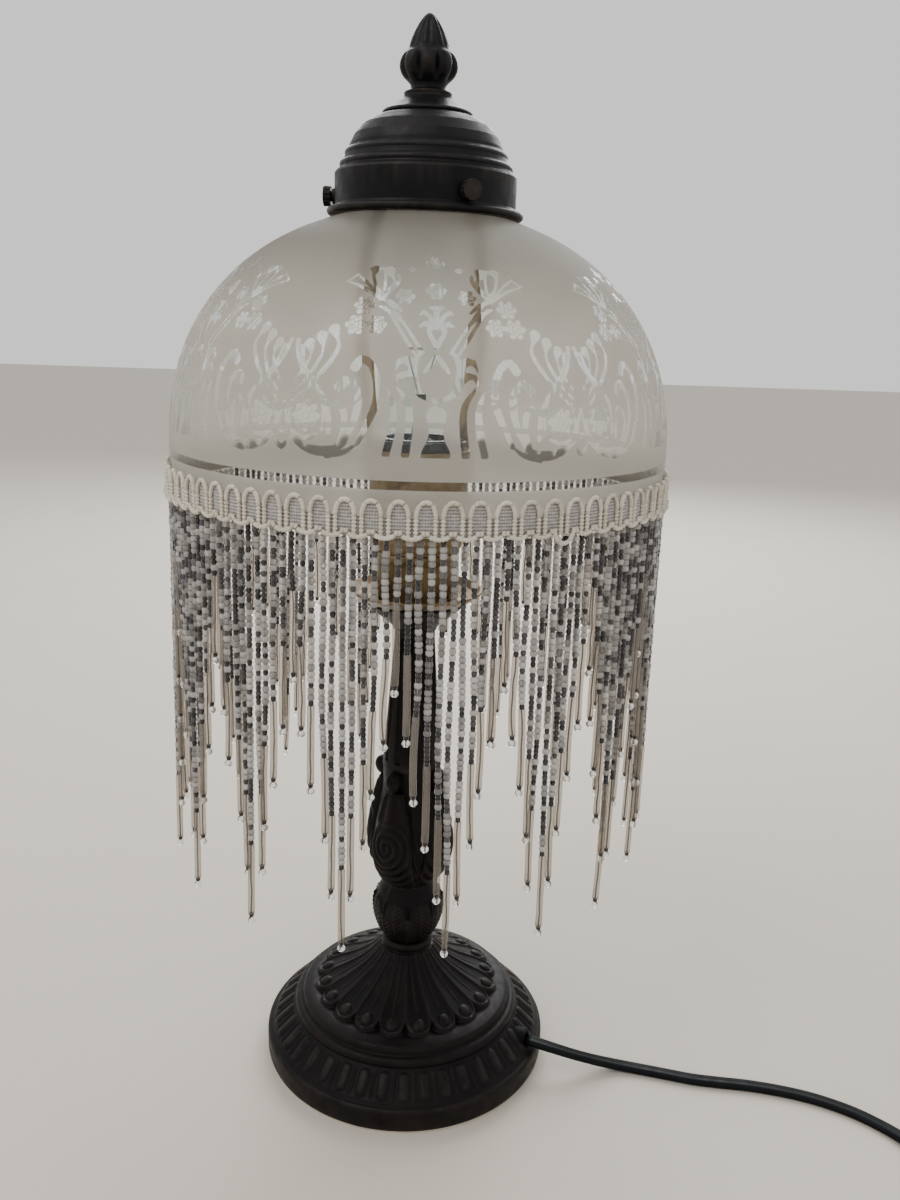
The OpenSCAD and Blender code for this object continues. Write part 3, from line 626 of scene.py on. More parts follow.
def drill_outlet(piece):
    """Drills the level hole that the cord leaves by."""
    mesh = bmesh.new()
    middle = (OUTLET_FROM + OUTLET_TO) / 2
    place = (
        Matrix.Rotation(math.radians(OUTLET_TURN), 4, "Z")
        @ Matrix.Translation((middle, 0, OUTLET_HEIGHT))
        @ Matrix.Rotation(math.radians(90), 4, "Y")
    )
    bmesh.ops.create_cone(
        mesh, cap_ends=True, segments=48, radius1=OUTLET_RADIUS, radius2=OUTLET_RADIUS,
        depth=OUTLET_TO - OUTLET_FROM, matrix=place,
    )
    data = bpy.data.meshes.new("drill")
    mesh.to_mesh(data)
    mesh.free()
    drill = bpy.data.objects.new("drill", data)
    bpy.context.scene.collection.objects.link(drill)
    cut = piece.modifiers.new("outlet", "BOOLEAN")
    cut.operation = "DIFFERENCE"
    cut.solver = "EXACT"
    cut.object = drill
    drilled = piece.evaluated_get(bpy.context.evaluated_depsgraph_get())
    piece.data = bpy.data.meshes.new_from_object(drilled)
    piece.modifiers.clear()
    bpy.data.objects.remove(drill)


def make_base(look):
    angles = even_angles(BASE_COLUMNS)
    bands = [
        scalloped_dome(angles),
        plain(smooth_rows(BAND_LINE, 0.6), BASE_COLUMNS),
        fluted_ring(angles),
        plain(PLINTH_LINE, BASE_COLUMNS),
        plain(BASE_INNER_LINE, BASE_COLUMNS),
    ]
    piece = turned_piece("cast_base", bands, look)
    drill_outlet(piece)
    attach(piece, "stand")
    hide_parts("base")


def make_knob(look):
    """The ball under the baluster, wrapped in two rows of low leaves."""
    columns = 300
    angles = even_angles(columns)
    rows = smooth_rows(KNOB_LINE[1:-1], 0.45)
    relief = np.zeros((len(rows), columns))
    for middle, turn in KNOB_LEAF_ROWS:
        across = rows[:, :1] * from_nearest(angles, KNOB_LEAVES, math.radians(turn))
        up = rows[:, 1:] - middle
        wide = 6.2 * np.sqrt(np.maximum(0.001, 1 - ((up + 1) / 8.5) ** 2))
        share = np.abs(across) / wide
        rib = 0.3 * np.exp(-((across / 0.5) ** 2))
        veins = 0.16 * np.cos(2 * math.pi * (up - 0.9 * np.abs(across)) / 2.1)
        leaf = (1 - share**4) * (0.5 + 0.03 * up + veins) + rib
        under_band = soft_step((KNOB_BAND - rows[:, 1:]) / 2.5)
        relief = np.maximum(relief, np.where(share < 1, leaf, 0) * under_band)
    bands = [plain(KNOB_LINE[:1], columns), lifted(rows, relief), plain(KNOB_LINE[-1:], columns)]
    piece = turned_piece("cast_knob", bands, look)
    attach(piece, "stand")
    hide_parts("knob")


def make_baluster(look):
    """Four long leaves, each hung from a small scroll and curled into a volute at its foot."""
    columns = 420
    angles = even_angles(columns)
    core = smooth_rows(BALUSTER_CORE, 0.3)
    crest = smooth_rows(BALUSTER_CREST, 0.3)
    heights = np.linspace(BALUSTER_TOP, BALUSTER_FOOT, 120)
    core_radii = np.interp(heights, core[::-1, 1], core[::-1, 0])[:, None]
    crest_radii = np.interp(heights, crest[::-1, 1], crest[::-1, 0])[:, None]
    high = heights[:, None]
    local = from_nearest(angles, BALUSTER_LEAVES, BALUSTER_TURN)
    across = crest_radii * local
    half_leaf = np.interp(heights, LEAF_HEIGHTS, LEAF_HALF_WIDTHS)[:, None]
    half_scroll = 4.2 * np.sqrt(np.maximum(0.001, 1 - ((high - SCROLL_HEIGHT) / 4.8) ** 2))
    half = np.where(high > LEAF_FOOT, half_scroll, half_leaf)
    share = np.abs(across) / half
    body = np.where(share < 1, np.sqrt(np.maximum(0, 1 - share**3)), 0)
    up = (high - VOLUTE_HEIGHT) * 0.85
    away = np.hypot(across, up)
    coil = np.cos(2 * math.pi * away / VOLUTE_PITCH - np.arctan2(across, up))
    fold = np.cos(3 * math.pi * share)
    leafy = soft_step((high - VOLUTE_HEIGHT - 6) / 9)
    carving = (coil * (1 - leafy) + fold * leafy) * 0.42
    carving *= soft_step((1 - share) / 0.15) * soft_step((LEAF_FOOT - high) / 2)
    tendril = np.cos(2 * math.pi * (np.abs(across) - 15 + 0.25 * (high - 82)) / 3.2)
    ground = 0.22 * tendril * np.where(share >= 1, 1, 0) * soft_step((130 - high) / 8)
    relief = (crest_radii - core_radii) * body + carving + ground
    radii = core_radii + relief
    bands = [
        plain([(5.1, BALUSTER_TOP + 0.1)], columns),
        (radii, high, carving),
        plain([(5.1, BALUSTER_FOOT - 0.1)], columns),
    ]
    piece = turned_piece("cast_baluster", bands, look)
    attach(piece, "stand")
    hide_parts("baluster")


def make_finial(look):
    """A ribbed bud in a crown of round petals."""
    columns = 256
    angles = even_angles(columns)
    rows = smooth_rows(FINIAL_LINE[:-1], 0.35)
    high = rows[:, 1:]
    petal = np.abs(np.cos(CROWN_LOBES / 2 * (angles - math.radians(-92))))[None, :]
    crown = np.sin(math.pi * np.clip((high - CROWN_LOW) / (CROWN_HIGH - CROWN_LOW), 0, 1))
    relief = crown * (0.8 - 2.6 * (1 - petal) ** 1.5)
    bud = soft_step((high - CROWN_HIGH) / 2) * soft_step((443 - high) / 4)
    relief = relief + 0.2 * bud * np.cos(BUD_RIBS * angles)[None, :]
    bands = [lifted(rows, relief), plain(FINIAL_LINE[-1:], columns), plain(FINIAL_BORE, columns)]
    piece = turned_piece("cast_finial", bands, look, capped=True)
    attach(piece, "finial_nut")
    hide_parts("finial")


# ---------- Shade glass ----------

GLASS_R = 100 * MM
GLASS_WALL = 2.8 * MM
GLASS_EQUATOR = 283 * MM
GLASS_RISE = 91.9 * MM
GLASS_POWER = 2.2
GLASS_CROWN = math.radians(68)
GLASS_COLUMNS = 1008
GLASS_ROW = 0.64 * MM
GLASS_SKIRT = [(99.8, 264.6), (99.3, 272), (99.4, 277.6)]
GLASS_NECK = [
    (36.6, 370.5), (32.8, 371.6), (32, 373.4), (32, 383), (33.3, 383.8), (33.3, 384.8), (32, 385.4),
]
GLASS_INNER_NECK = [(29.2, 385.4), (29.2, 371.6), (29.8, 369.6)]

MOTIFS = 6
MOTIF_AT = -87  # where the middle of one motif is, in degrees round the lamp
MOTIF_COLUMNS = GLASS_COLUMNS // MOTIFS
PATTERN_LOW = -4 * MM

# The clear strokes of half a motif, from its middle (0 degrees) to its border (30 degrees).
# Each point is degrees, millimetres above the widest ring, and the stroke's half width there.
URN = [
    [(3.4, 41, 0.5), (4.6, 37, 1.3), (4.4, 32, 1.5), (3.0, 27.6, 1.0), (0, 25.4, 0.6)],
    [(0.3, 40, 0.6), (1.2, 37.4, 0.9), (2.4, 34.8, 0.5)],
    [(0, 20.8, 3.3), (0, 18.6, 2.7), (0, 15.8, 2.3), (0, 12.6, 2.9), (0, 9.6, 4.1), (0, 7.4, 5.2)],
    [(8.0, 35.2, 0.2), (7.2, 38.4, 0.9), (5.8, 38.6, 1.4), (4.8, 36.8, 1.2)],
    [(8.1, 30.4, 0.2), (7.3, 33.6, 0.8), (6.0, 33.8, 1.2), (4.9, 31.8, 0.8)],
]
LEAVES = [
    [(7.6, 30, 0.3), (5.4, 24.5, 1.0), (5.0, 18, 1.2), (5.6, 8.4, 1.3)],
    [(9.2, 29, 0.3), (8.0, 23, 1.0), (8.2, 16, 1.2), (9.2, 8.4, 1.2)],
]
SCROLLS = [
    [
        (15.9, 35.8, 1.6), (14.8, 38.4, 1.3), (12.8, 36.8, 1.2), (11.3, 30.5, 1.3), (11.6, 23, 1.2),
        (14.6, 11.5, 0.8),
    ],
    [
        (18.6, 29.4, 1.9), (17.3, 31.6, 1.4), (15.6, 29.6, 1.2), (14.8, 25, 1.3), (15.4, 18.5, 1.1),
        (17.3, 10.8, 0.7),
    ],
    [(19.6, 22.9, 0.5), (18.6, 23.8, 0.9), (17.4, 21, 1.1), (17.3, 16, 1.0), (18.4, 10.4, 0.6)],
    [(14.6, 11.5, 0.3), (17.0, 8.6, 0.8), (20.5, 7.2, 1.0)],
]
LILY = [
    [(0, 43.5, 1.0), (0.9, 46, 0.8), (1.7, 49, 0.7), (0.6, 51, 0.6)],
    [(0, 50, 0.8), (0.2, 53.5, 0.6), (0.2, 57, 0.9), (1.4, 57.4, 0.5)],
    [(0.8, 50.5, 0.6), (1.5, 54, 0.7), (2.8, 55.6, 0.8), (3.6, 54.6, 0.3)],
    [(1.0, 49.4, 0.6), (2.4, 51.4, 0.9), (3.6, 50.2, 0.3)],
]
STEMS = [
    [(13.4, 64.2, 0.35), (9.8, 57.4, 0.45), (6.2, 49.6, 0.5), (2.8, 41.4, 0.6)],
    [(11.4, 57.4, 0.3), (8.6, 51.2, 0.5), (5.9, 44.6, 0.6), (4.0, 39.8, 0.4)],
    [(12.6, 60.4, 0.4), (9.8, 58.6, 0.8), (7.4, 55.6, 0.4)],
    [(12.4, 57.2, 0.4), (9.4, 54.6, 0.8), (7.4, 51.6, 0.3)],
]
FAN = [
    [
        (12.6, 59.8, 0.5), (10.2, 64, 0.6), (8.8, 68.4, 0.6), (9.6, 72, 0.6), (13.1, 73.6, 0.7),
        (17.5, 72, 0.6), (21.6, 67.1, 0.4),
    ],
    [(21.6, 67.1, 0.4), (17.4, 64.8, 0.6), (12.8, 60.4, 0.6)],
    [(12.6, 60.4, 0.4), (12.0, 65.5, 0.5), (12.6, 71.6, 0.5)],
    [(12.8, 60.6, 0.4), (14.4, 66, 0.5), (15.8, 71.4, 0.5)],
    [(13.2, 61, 0.4), (16.0, 66, 0.5), (18.8, 69.4, 0.5)],
    [(11.2, 64, 0.4), (9.9, 66.6, 0.5), (10.4, 69.4, 0.5), (11.6, 70.2, 0.4)],
]
BOUQUET = [
    [
        (21.5, 48.2, 2.0), (20.4, 45, 0.5), (19.9, 42, 0.7), (21.2, 37, 0.8), (24.4, 30.2, 0.7),
        (27.2, 25, 0.5),
    ],
    [(23.9, 45.6, 2.0), (23.2, 42, 0.4), (23.4, 38.4, 0.6), (25.6, 31.6, 0.6), (28.2, 27, 0.5)],
    [(26.3, 43, 1.8), (25.6, 39.6, 0.4), (26.4, 35, 0.6), (28.6, 30, 0.5)],
    [
        (29.2, 44, 0.9), (28.2, 38, 0.6), (25.6, 32, 0.7), (22.4, 27, 0.8), (20.6, 21, 0.9),
        (20.2, 14, 0.9),
    ],
    [
        (27.8, 42, 0.7), (26.6, 36, 0.5), (23.6, 29.6, 0.6), (21.8, 24.6, 0.6), (21.4, 19, 0.5),
        (21.6, 15, 0.5),
    ],
]
SHELL = [
    [(27.8, 25.6, 0.3), (28.6, 20, 0.5), (28.0, 15, 0.6), (25.6, 12.2, 0.8), (22.6, 13.6, 0.5)],
    [(28.2, 12.6, 0.3), (25.4, 9.6, 1.1), (22.0, 8.4, 1.6), (18.8, 9.4, 1.2), (16.6, 12.6, 0.3)],
]
DROP = [
    [(29.9, 23.4, 0.5), (29.2, 19, 0.6), (28.9, 14.6, 0.4)],
    [(28.6, 11.4, 0.3), (29.4, 9.4, 0.8), (30, 8.9, 0.9)],
    [(30, 14.8, 1.1), (30, 14.4, 1.1)],
]
GARLAND = [
    [(3.0, 75.2, 1.0), (3.5, 74.9, 1.1)],
    [(4.2, 74.4, 0.7), (4.6, 74.2, 0.7)],
    [(5.2, 73.6, 0.8), (6.4, 73.0, 0.8)],
    [(7.6, 72.2, 0.5), (8.4, 71.6, 0.5)],
]
RING = [[(0, -1.4, 1.4), (15, -1.4, 1.4), (30, -1.4, 1.4)]]
STROKES = SCROLLS + LILY + STEMS + FAN + BOUQUET + SHELL + DROP + GARLAND + RING
FOOTED_STROKES = URN + LEAVES
FLOWER_LINE = 0.24  # half the width of the frosted lines in a flower
FOOT_LINE = 7.8  # the height at which the footed strokes are cut off level

# Flowers: degrees, millimetres above the widest ring, radius, and how many petals.
FLOWERS = [
    (0, 76.4, 3.4, 5), (0, 63.9, 3.6, 5), (7.0, 61.4, 3.3, 6), (15.9, 57.4, 3.7, 6),
    (17.0, 50.2, 3.8, 6), (12.6, 50.4, 3.5, 6), (25.0, 19.4, 5.2, 8),
]


def dome_point(angle):
    """Radius and height of the dome's outer face; the angle is 0 at the widest ring."""
    power = 2 / GLASS_POWER
    return (
        GLASS_R * math.cos(angle) ** power,
        GLASS_EQUATOR + GLASS_RISE * math.sin(angle) ** power,
    )


def spaced_line(line, step):
    """The same line with a point about every step."""
    out = [line[0]]
    for a, b in zip(line, line[1:]):
        count = max(1, round(math.dist(a, b) / step))
        shares = [k / count for k in range(1, count + 1)]
        out += [(a[0] + (b[0] - a[0]) * t, a[1] + (b[1] - a[1]) * t) for t in shares]
    return out


def glass_outline():
    """The outer face from the rim up to the lip: radius, height and length above the widest ring."""
    fine = [dome_point(GLASS_CROWN * k / 800) for k in range(801)]
    dome = [fine[0]]
    for point in fine:
        step = GLASS_ROW if point[1] < GLASS_EQUATOR + 64 * MM else 5 * GLASS_ROW
        if math.dist(point, dome[-1]) >= step:
            dome.append(point)
    skirt = [(r * MM, z * MM) for r, z in GLASS_SKIRT]
    low_band = (GLASS_R, GLASS_EQUATOR + PATTERN_LOW)
    skirt_line = skirt + spaced_line([low_band, (GLASS_R, GLASS_EQUATOR)], GLASS_ROW)[:-1]
    neck = [(r * MM, z * MM) for r, z in GLASS_NECK]
    line = skirt_line + dome + neck
    lengths = [0.0]
    for a, b in zip(line, line[1:]):
        lengths.append(lengths[-1] + math.dist(a, b))
    zero = lengths[len(skirt_line)]
    return line, [length - zero for length in lengths]


def stroke_distance(x, y, stroke, scale):
    """Distance in millimetres from points to a stroke's edge; negative inside the stroke."""
    best = np.full(x.shape, 1e3)
    for (a0, b0, w0), (a1, b1, w1) in zip(stroke, stroke[1:]):
        ax, bx = a0 * scale, a1 * scale
        run_x, run_y = bx - ax, b1 - b0
        share = ((x - ax) * run_x + (y - b0) * run_y) / (run_x**2 + run_y**2)
        share = np.clip(share, 0, 1)
        away = np.hypot(x - ax - share * run_x, y - b0 - share * run_y)
        best = np.minimum(best, away - (w0 + (w1 - w0) * share))
    return best


def flower_distance(x, y, flower, scale):
    """Distance in millimetres to a flower's clear petals; negative inside a petal."""
    at, high, radius, petals = flower
    dx, dy = x - at * scale, y - high
    away = np.hypot(dx, dy)
    turn = np.arctan2(dy, dx)
    wave = np.cos(petals * turn)
    outside = away - radius * (0.88 + 0.12 * wave)
    cuts = FLOWER_LINE - away * np.abs(np.sin(petals * (turn + math.pi / petals) / 2))
    split = np.minimum(cuts, away - 0.6 * radius)
    petal_ring = FLOWER_LINE - np.abs(away - radius * (0.6 - 0.08 * wave))
    heart = FLOWER_LINE - np.abs(away - radius * (0.26 + 0.05 * np.cos(3 * turn)))
    return np.maximum.reduce([outside, split, petal_ring, heart])


def etched_pattern(line, lengths):
    """Distance to the clear strokes in millimetres, for each row and each column of half a motif."""
    columns = MOTIF_COLUMNS // 2 + 1
    degrees = np.arange(columns) * 360 / GLASS_COLUMNS
    scale = np.radians(1) * np.array([[radius / MM] for radius, _ in line])
    x = degrees[None, :] * scale
    y = np.repeat(np.array([[length / MM] for length in lengths]), columns, axis=1)
    best = np.full(x.shape, 1.0)
    for stroke in STROKES:
        smooth = smooth_line(stroke, 1.5) if len(stroke) > 2 else stroke
        best = np.minimum(best, stroke_distance(x, y, smooth, scale))
    for stroke in FOOTED_STROKES:
        shape = stroke_distance(x, y, smooth_line(stroke, 1.5), scale)
        best = np.minimum(best, np.maximum(shape, FOOT_LINE - y))
    for flower in FLOWERS:
        best = np.minimum(best, flower_distance(x, y, flower, scale))
    return best


def make_glass(frosted, clear):
    line, lengths = glass_outline()
    half = etched_pattern(line, lengths)
    inner = [(r * MM, z * MM) for r, z in GLASS_INNER_NECK]
    steps = 14
    for k in range(steps + 1):
        radius, height = dome_point(GLASS_CROWN * (1 - k / steps))
        wide = radius / GLASS_R
        inner.append((radius - GLASS_WALL * wide, height - GLASS_WALL * 1.1 * (1 - wide)))
    inner += [(r * MM - GLASS_WALL, z * MM) for r, z in reversed(GLASS_SKIRT[:2])]
    whole = line + inner
    points, values = [], []
    for row, (radius, height) in enumerate(whole):
        for c in range(GLASS_COLUMNS):
            angle = math.radians(MOTIF_AT + 360 * c / GLASS_COLUMNS)
            points.append((radius * math.cos(angle), radius * math.sin(angle), height))
            fold = c % MOTIF_COLUMNS
            fold = min(fold, MOTIF_COLUMNS - fold)
            values.append(float(half[row][fold]) if row < len(line) else 1.0)
    faces = grid_faces(len(whole) + 1, GLASS_COLUMNS, closed=True)
    count = len(points)
    faces = [tuple(v % count for v in face) for face in faces]
    piece = new_piece("dome_glass", points, faces, frosted)
    piece.data.materials.append(clear)
    outer_faces = (len(line) - 1) * GLASS_COLUMNS
    slots = [0] * outer_faces + [1] * (len(faces) - outer_faces)
    piece.data.polygons.foreach_set("material_index", slots)
    store(piece, "clear_edge", values)
    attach(piece, "shade")
    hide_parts("glass")


# ---------- Bead fringe ----------

FRINGE_R = 99.9 * MM
FRINGE_TOP = 264.4 * MM
FRINGE_POINTS = 17
STRANDS_PER_POINT = 10
SHORTEST_AT = -93.5  # a shortest strand, in degrees round the lamp
SHORT_STRAND = 53 * MM
LONG_STRAND = 153 * MM
BUGLE_LENGTH = 29 * MM
BUGLE_R = 1.3 * MM
TIP_LENGTH = 4.4 * MM
DARK_BEAD = (1.02 * MM, 1.85 * MM)  # radius and length
CLEAR_BEAD = (1.28 * MM, 2.3 * MM)
BEAD_SIDES = 8
END_SHADE = 0.2  # how much of a bead's tone is left at its ends
CORE_R = 0.3 * MM
STOP_BEAD = (0.95 * MM, 1.6 * MM)  # the dark bead under a bugle: radius and length
DROP_BEAD = (1.5 * MM, 2.7 * MM)  # the clear bead at the tip: radius and length
THREAD_R = 0.18 * MM
DARK_TONE, CLEAR_TONE = 0.1, 0.9
BEAD_LINE = [(0.62, -0.5), (0.92, -0.36), (1.02, 0), (0.92, 0.36), (0.62, 0.5)]
TIP_LINE = [(0.3, -0.48), (0.62, -0.4), (0.9, -0.22), (1.0, 0), (0.9, 0.22), (0.62, 0.4), (0.3, 0.48)]


class Collector:
    """Gathers many small shapes into one mesh, with a tone for each point."""

    def __init__(self):
        self.points = []
        self.faces = []
        self.tones = []

    def add(self, points, faces, tone=0.5):
        first = len(self.points)
        self.points += points
        self.faces += [tuple(first + v for v in face) for face in faces]
        self.tones += [tone] * len(points)

    def add_bead(self, points, faces, tone):
        """Adds a turned bead, whose two ends are darker round the hole."""
        ends = BEAD_SIDES + 1
        self.add(points, faces, tone)
        self.tones[-len(points):] = (
            [tone * END_SHADE] * ends + [tone] * (len(points) - 2 * ends) + [tone * END_SHADE] * ends
        )

    def piece(self, name, look, body, slot):
        made = new_piece(name, self.points, self.faces, look)
        store(made, "tone", self.tones)
        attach(made, body)
        return made


def turned_bead(middle, along, radius, length, line, sides=BEAD_SIDES):
    """A bead turned about its own axis, closed at both ends."""
    side = along.orthogonal().normalized()
    other = along.cross(side)
    low, high = line[0][1], line[-1][1]
    points = [middle + along * (low * length)]
    for r, z in line:
        for k in range(sides):
            a = 2 * math.pi * k / sides
            points.append(
                middle + along * (z * length) + (side * math.cos(a) + other * math.sin(a)) * (r * radius)
            )
    points.append(middle + along * (high * length))
    rings = len(line)
    faces = [tuple(1 + v for v in face) for face in grid_faces(rings, sides, closed=True)]
    last = len(points) - 1
    for k in range(sides):
        after = (k + 1) % sides
        faces.append((0, 1 + after, 1 + k))
        faces.append((last, last - sides + k, last - sides + after))
    return points, faces


def tube(path, radius, sides):
    """A round tube along a path, closed at both ends."""
    points = []
    for i, here in enumerate(path):
        along = direction(path, i)
        side = along.orthogonal().normalized()
        other = along.cross(side)
        points += [here + side * x + other * z for x, z in round_section(radius, sides)]
    return points, tube_faces(len(path), sides)


class Strand:
    """One thread of the fringe: where it hangs, how it leans and how long it is."""

    def __init__(self, index, drift):
        self.angle = math.radians(SHORTEST_AT + 360 * index / (FRINGE_POINTS * STRANDS_PER_POINT))
        out = Vector((math.cos(self.angle), math.sin(self.angle), 0))
        self.round = Vector((-out.y, out.x, 0))
        self.out = out
        self.top = out * FRINGE_R + Vector((0, 0, FRINGE_TOP))
        near = abs(index % STRANDS_PER_POINT - STRANDS_PER_POINT / 2) / (STRANDS_PER_POINT / 2)
        self.length = LONG_STRAND + (SHORT_STRAND - LONG_STRAND) * near
        self.lean = drift
        self.sway = random.uniform(-0.5, 0.5) * MM
        self.outward = random.uniform(-0.012, 0.01)

    def at(self, depth):
        share = depth / self.length
        across = self.lean * depth * (0.6 + 0.4 * share) + self.sway * math.sin(3 * math.pi * share)
        return self.top + self.round * across + self.out * (self.outward * depth) - Vector((0, 0, depth))

    def along(self, depth):
        return (self.at(depth) - self.at(depth + MM)).normalized()

    def bead(self, middle, along, size, line):
        """A bead of the given radius and length, threaded with its middle at that depth."""
        return turned_bead(self.at(middle), self.along(along), *size, line)


def make_fringe(dark_look, clear_look, drop_look, bugle_look, core_look, thread_look):
    random.seed(7)
    dark, clear, bugles, threads = Collector(), Collector(), Collector(), Collector()
    drops, cores = Collector(), Collector()
    total = FRINGE_POINTS * STRANDS_PER_POINT
    waves = [
        (random.randint(2, 9), random.uniform(0, 6.28), random.uniform(0.003, 0.007))
        for _ in range(6)
    ]
    for index in range(total):
        turn = 2 * math.pi * index / total
        drift = sum(size * math.sin(count * turn + phase) for count, phase, size in waves)
        strand = Strand(index, drift + random.uniform(-0.011, 0.011))
        depth = 0.3 * MM
        seeds_end = strand.length - TIP_LENGTH - BUGLE_LENGTH - DARK_BEAD[1]
        is_dark = random.random() < 0.45
        while depth < seeds_end:
            radius, length = DARK_BEAD if is_dark else CLEAR_BEAD
            radius *= random.uniform(0.93, 1.07)
            length *= random.uniform(0.9, 1.1)
            middle = depth + length / 2
            heap = dark if is_dark else clear
            bead = strand.bead(middle, middle, (radius, length), BEAD_LINE)
            heap.add_bead(*bead, tone=random.random())
            depth += length
            is_dark = random.random() < (0.52 if is_dark else 0.38)
        dark.add(*strand.bead(depth + DARK_BEAD[1] / 2, depth, DARK_BEAD, BEAD_LINE), 2 * DARK_TONE)
        depth += DARK_BEAD[1]
        tube_line = [strand.at(depth + BUGLE_LENGTH * k / 4) for k in range(5)]
        bugles.add(*tube(tube_line, BUGLE_R, 10), tone=random.random())
        core = [
            strand.at(depth + BUGLE_LENGTH * k / 6) + strand.round * random.uniform(-0.25, 0.25) * MM
            for k in range(7)
        ]
        cores.add(*tube(core, CORE_R, 6), tone=DARK_TONE)
        depth += BUGLE_LENGTH
        dark.add(*strand.bead(depth + STOP_BEAD[1] / 2, depth, STOP_BEAD, BEAD_LINE), DARK_TONE)
        depth += STOP_BEAD[1]
        drops.add(*strand.bead(depth + DROP_BEAD[1] / 2, depth, DROP_BEAD, TIP_LINE), CLEAR_TONE)
        line = [strand.at(-1.5 * MM), strand.at(strand.length * 0.3), strand.at(strand.length * 0.6)]
        threads.add(*tube(line, THREAD_R, 4), tone=0.8)
    made = [
        dark.piece("dark_beads", dark_look, "shade", "glass_beads"),
        clear.piece("clear_beads", clear_look, "shade", "glass_beads"),
        bugles.piece("bugle_beads", bugle_look, "shade", "glass_beads"),
        threads.piece("fringe_threads", thread_look, "shade", "glass_beads"),
        drops.piece("drop_beads", drop_look, "shade", "glass_beads"),
        cores.piece("bugle_threads", core_look, "shade", "glass_beads"),
    ]
    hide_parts("fringe")


# ---------- Braid ----------

BRAID_LOW = 264 * MM
BRAID_IN = 99.9 * MM
BRAID_OUT = 100.9 * MM
BRAID_LOOPS = 72
BRAID_FIRST = -88.5
LOOSE_LOOP = -62
CORD_R = 0.75 * MM
ARCH_SHARE = 0.36  # half an arch's width, as a share of the pitch
ARCH_RISE = 4.9 * MM
LEG_FOOT, LEG_TOP = 1.4 * MM, 7.8 * MM
LEG_R = 0.72 * MM
BOWL_SHARE = 0.45
BOWL_TOP = 3.2 * MM
BOWL_DROP, LOOSE_DROP = 2.6 * MM, 5.2 * MM
BAND_STEPS = 10  # columns of the band's mesh in one loop
BAND_ROWS = 13
BAND_FOOT = 1.0 * MM  # how far the band's lower edge is above the braid's
BAND_SHOULDER = 7.4 * MM
BAND_ARCH = 4.8 * MM


def on_braid(angle, out, height):
    """A point on the braid: degrees round the lamp, distance from the axis and height."""
    turn = math.radians(angle)
    return Vector((out * math.cos(turn), out * math.sin(turn), height))


def rope(path, radius, sides=7, lay=1.25 * MM, depth=0.16, strands=2):
    """A corded tube of twisted strands, or with no strands a row of stitches across it."""
    points = []
    gone = 0.0
    for i, here in enumerate(path):
        gone += (here - path[max(i - 1, 0)]).length
        along = direction(path, i)
        side = along.orthogonal().normalized()
        other = along.cross(side)
        for k in range(sides):
            a = 2 * math.pi * k / sides
            swell = 1 + depth * math.cos(strands * a - 2 * math.pi * gone / lay)
            points.append(here + (side * math.cos(a) + other * math.sin(a)) * (radius * swell))
    return points, tube_faces(len(path), sides)


def arc_points(wide, high, rise, start, end, steps):
    """Points of a flat arc as (degrees round the lamp, height), from start to end in half turns."""
    turns = [math.pi * (start + (end - start) * k / steps) for k in range(steps + 1)]
    return [(wide * math.cos(a), high + rise * math.sin(a)) for a in turns]


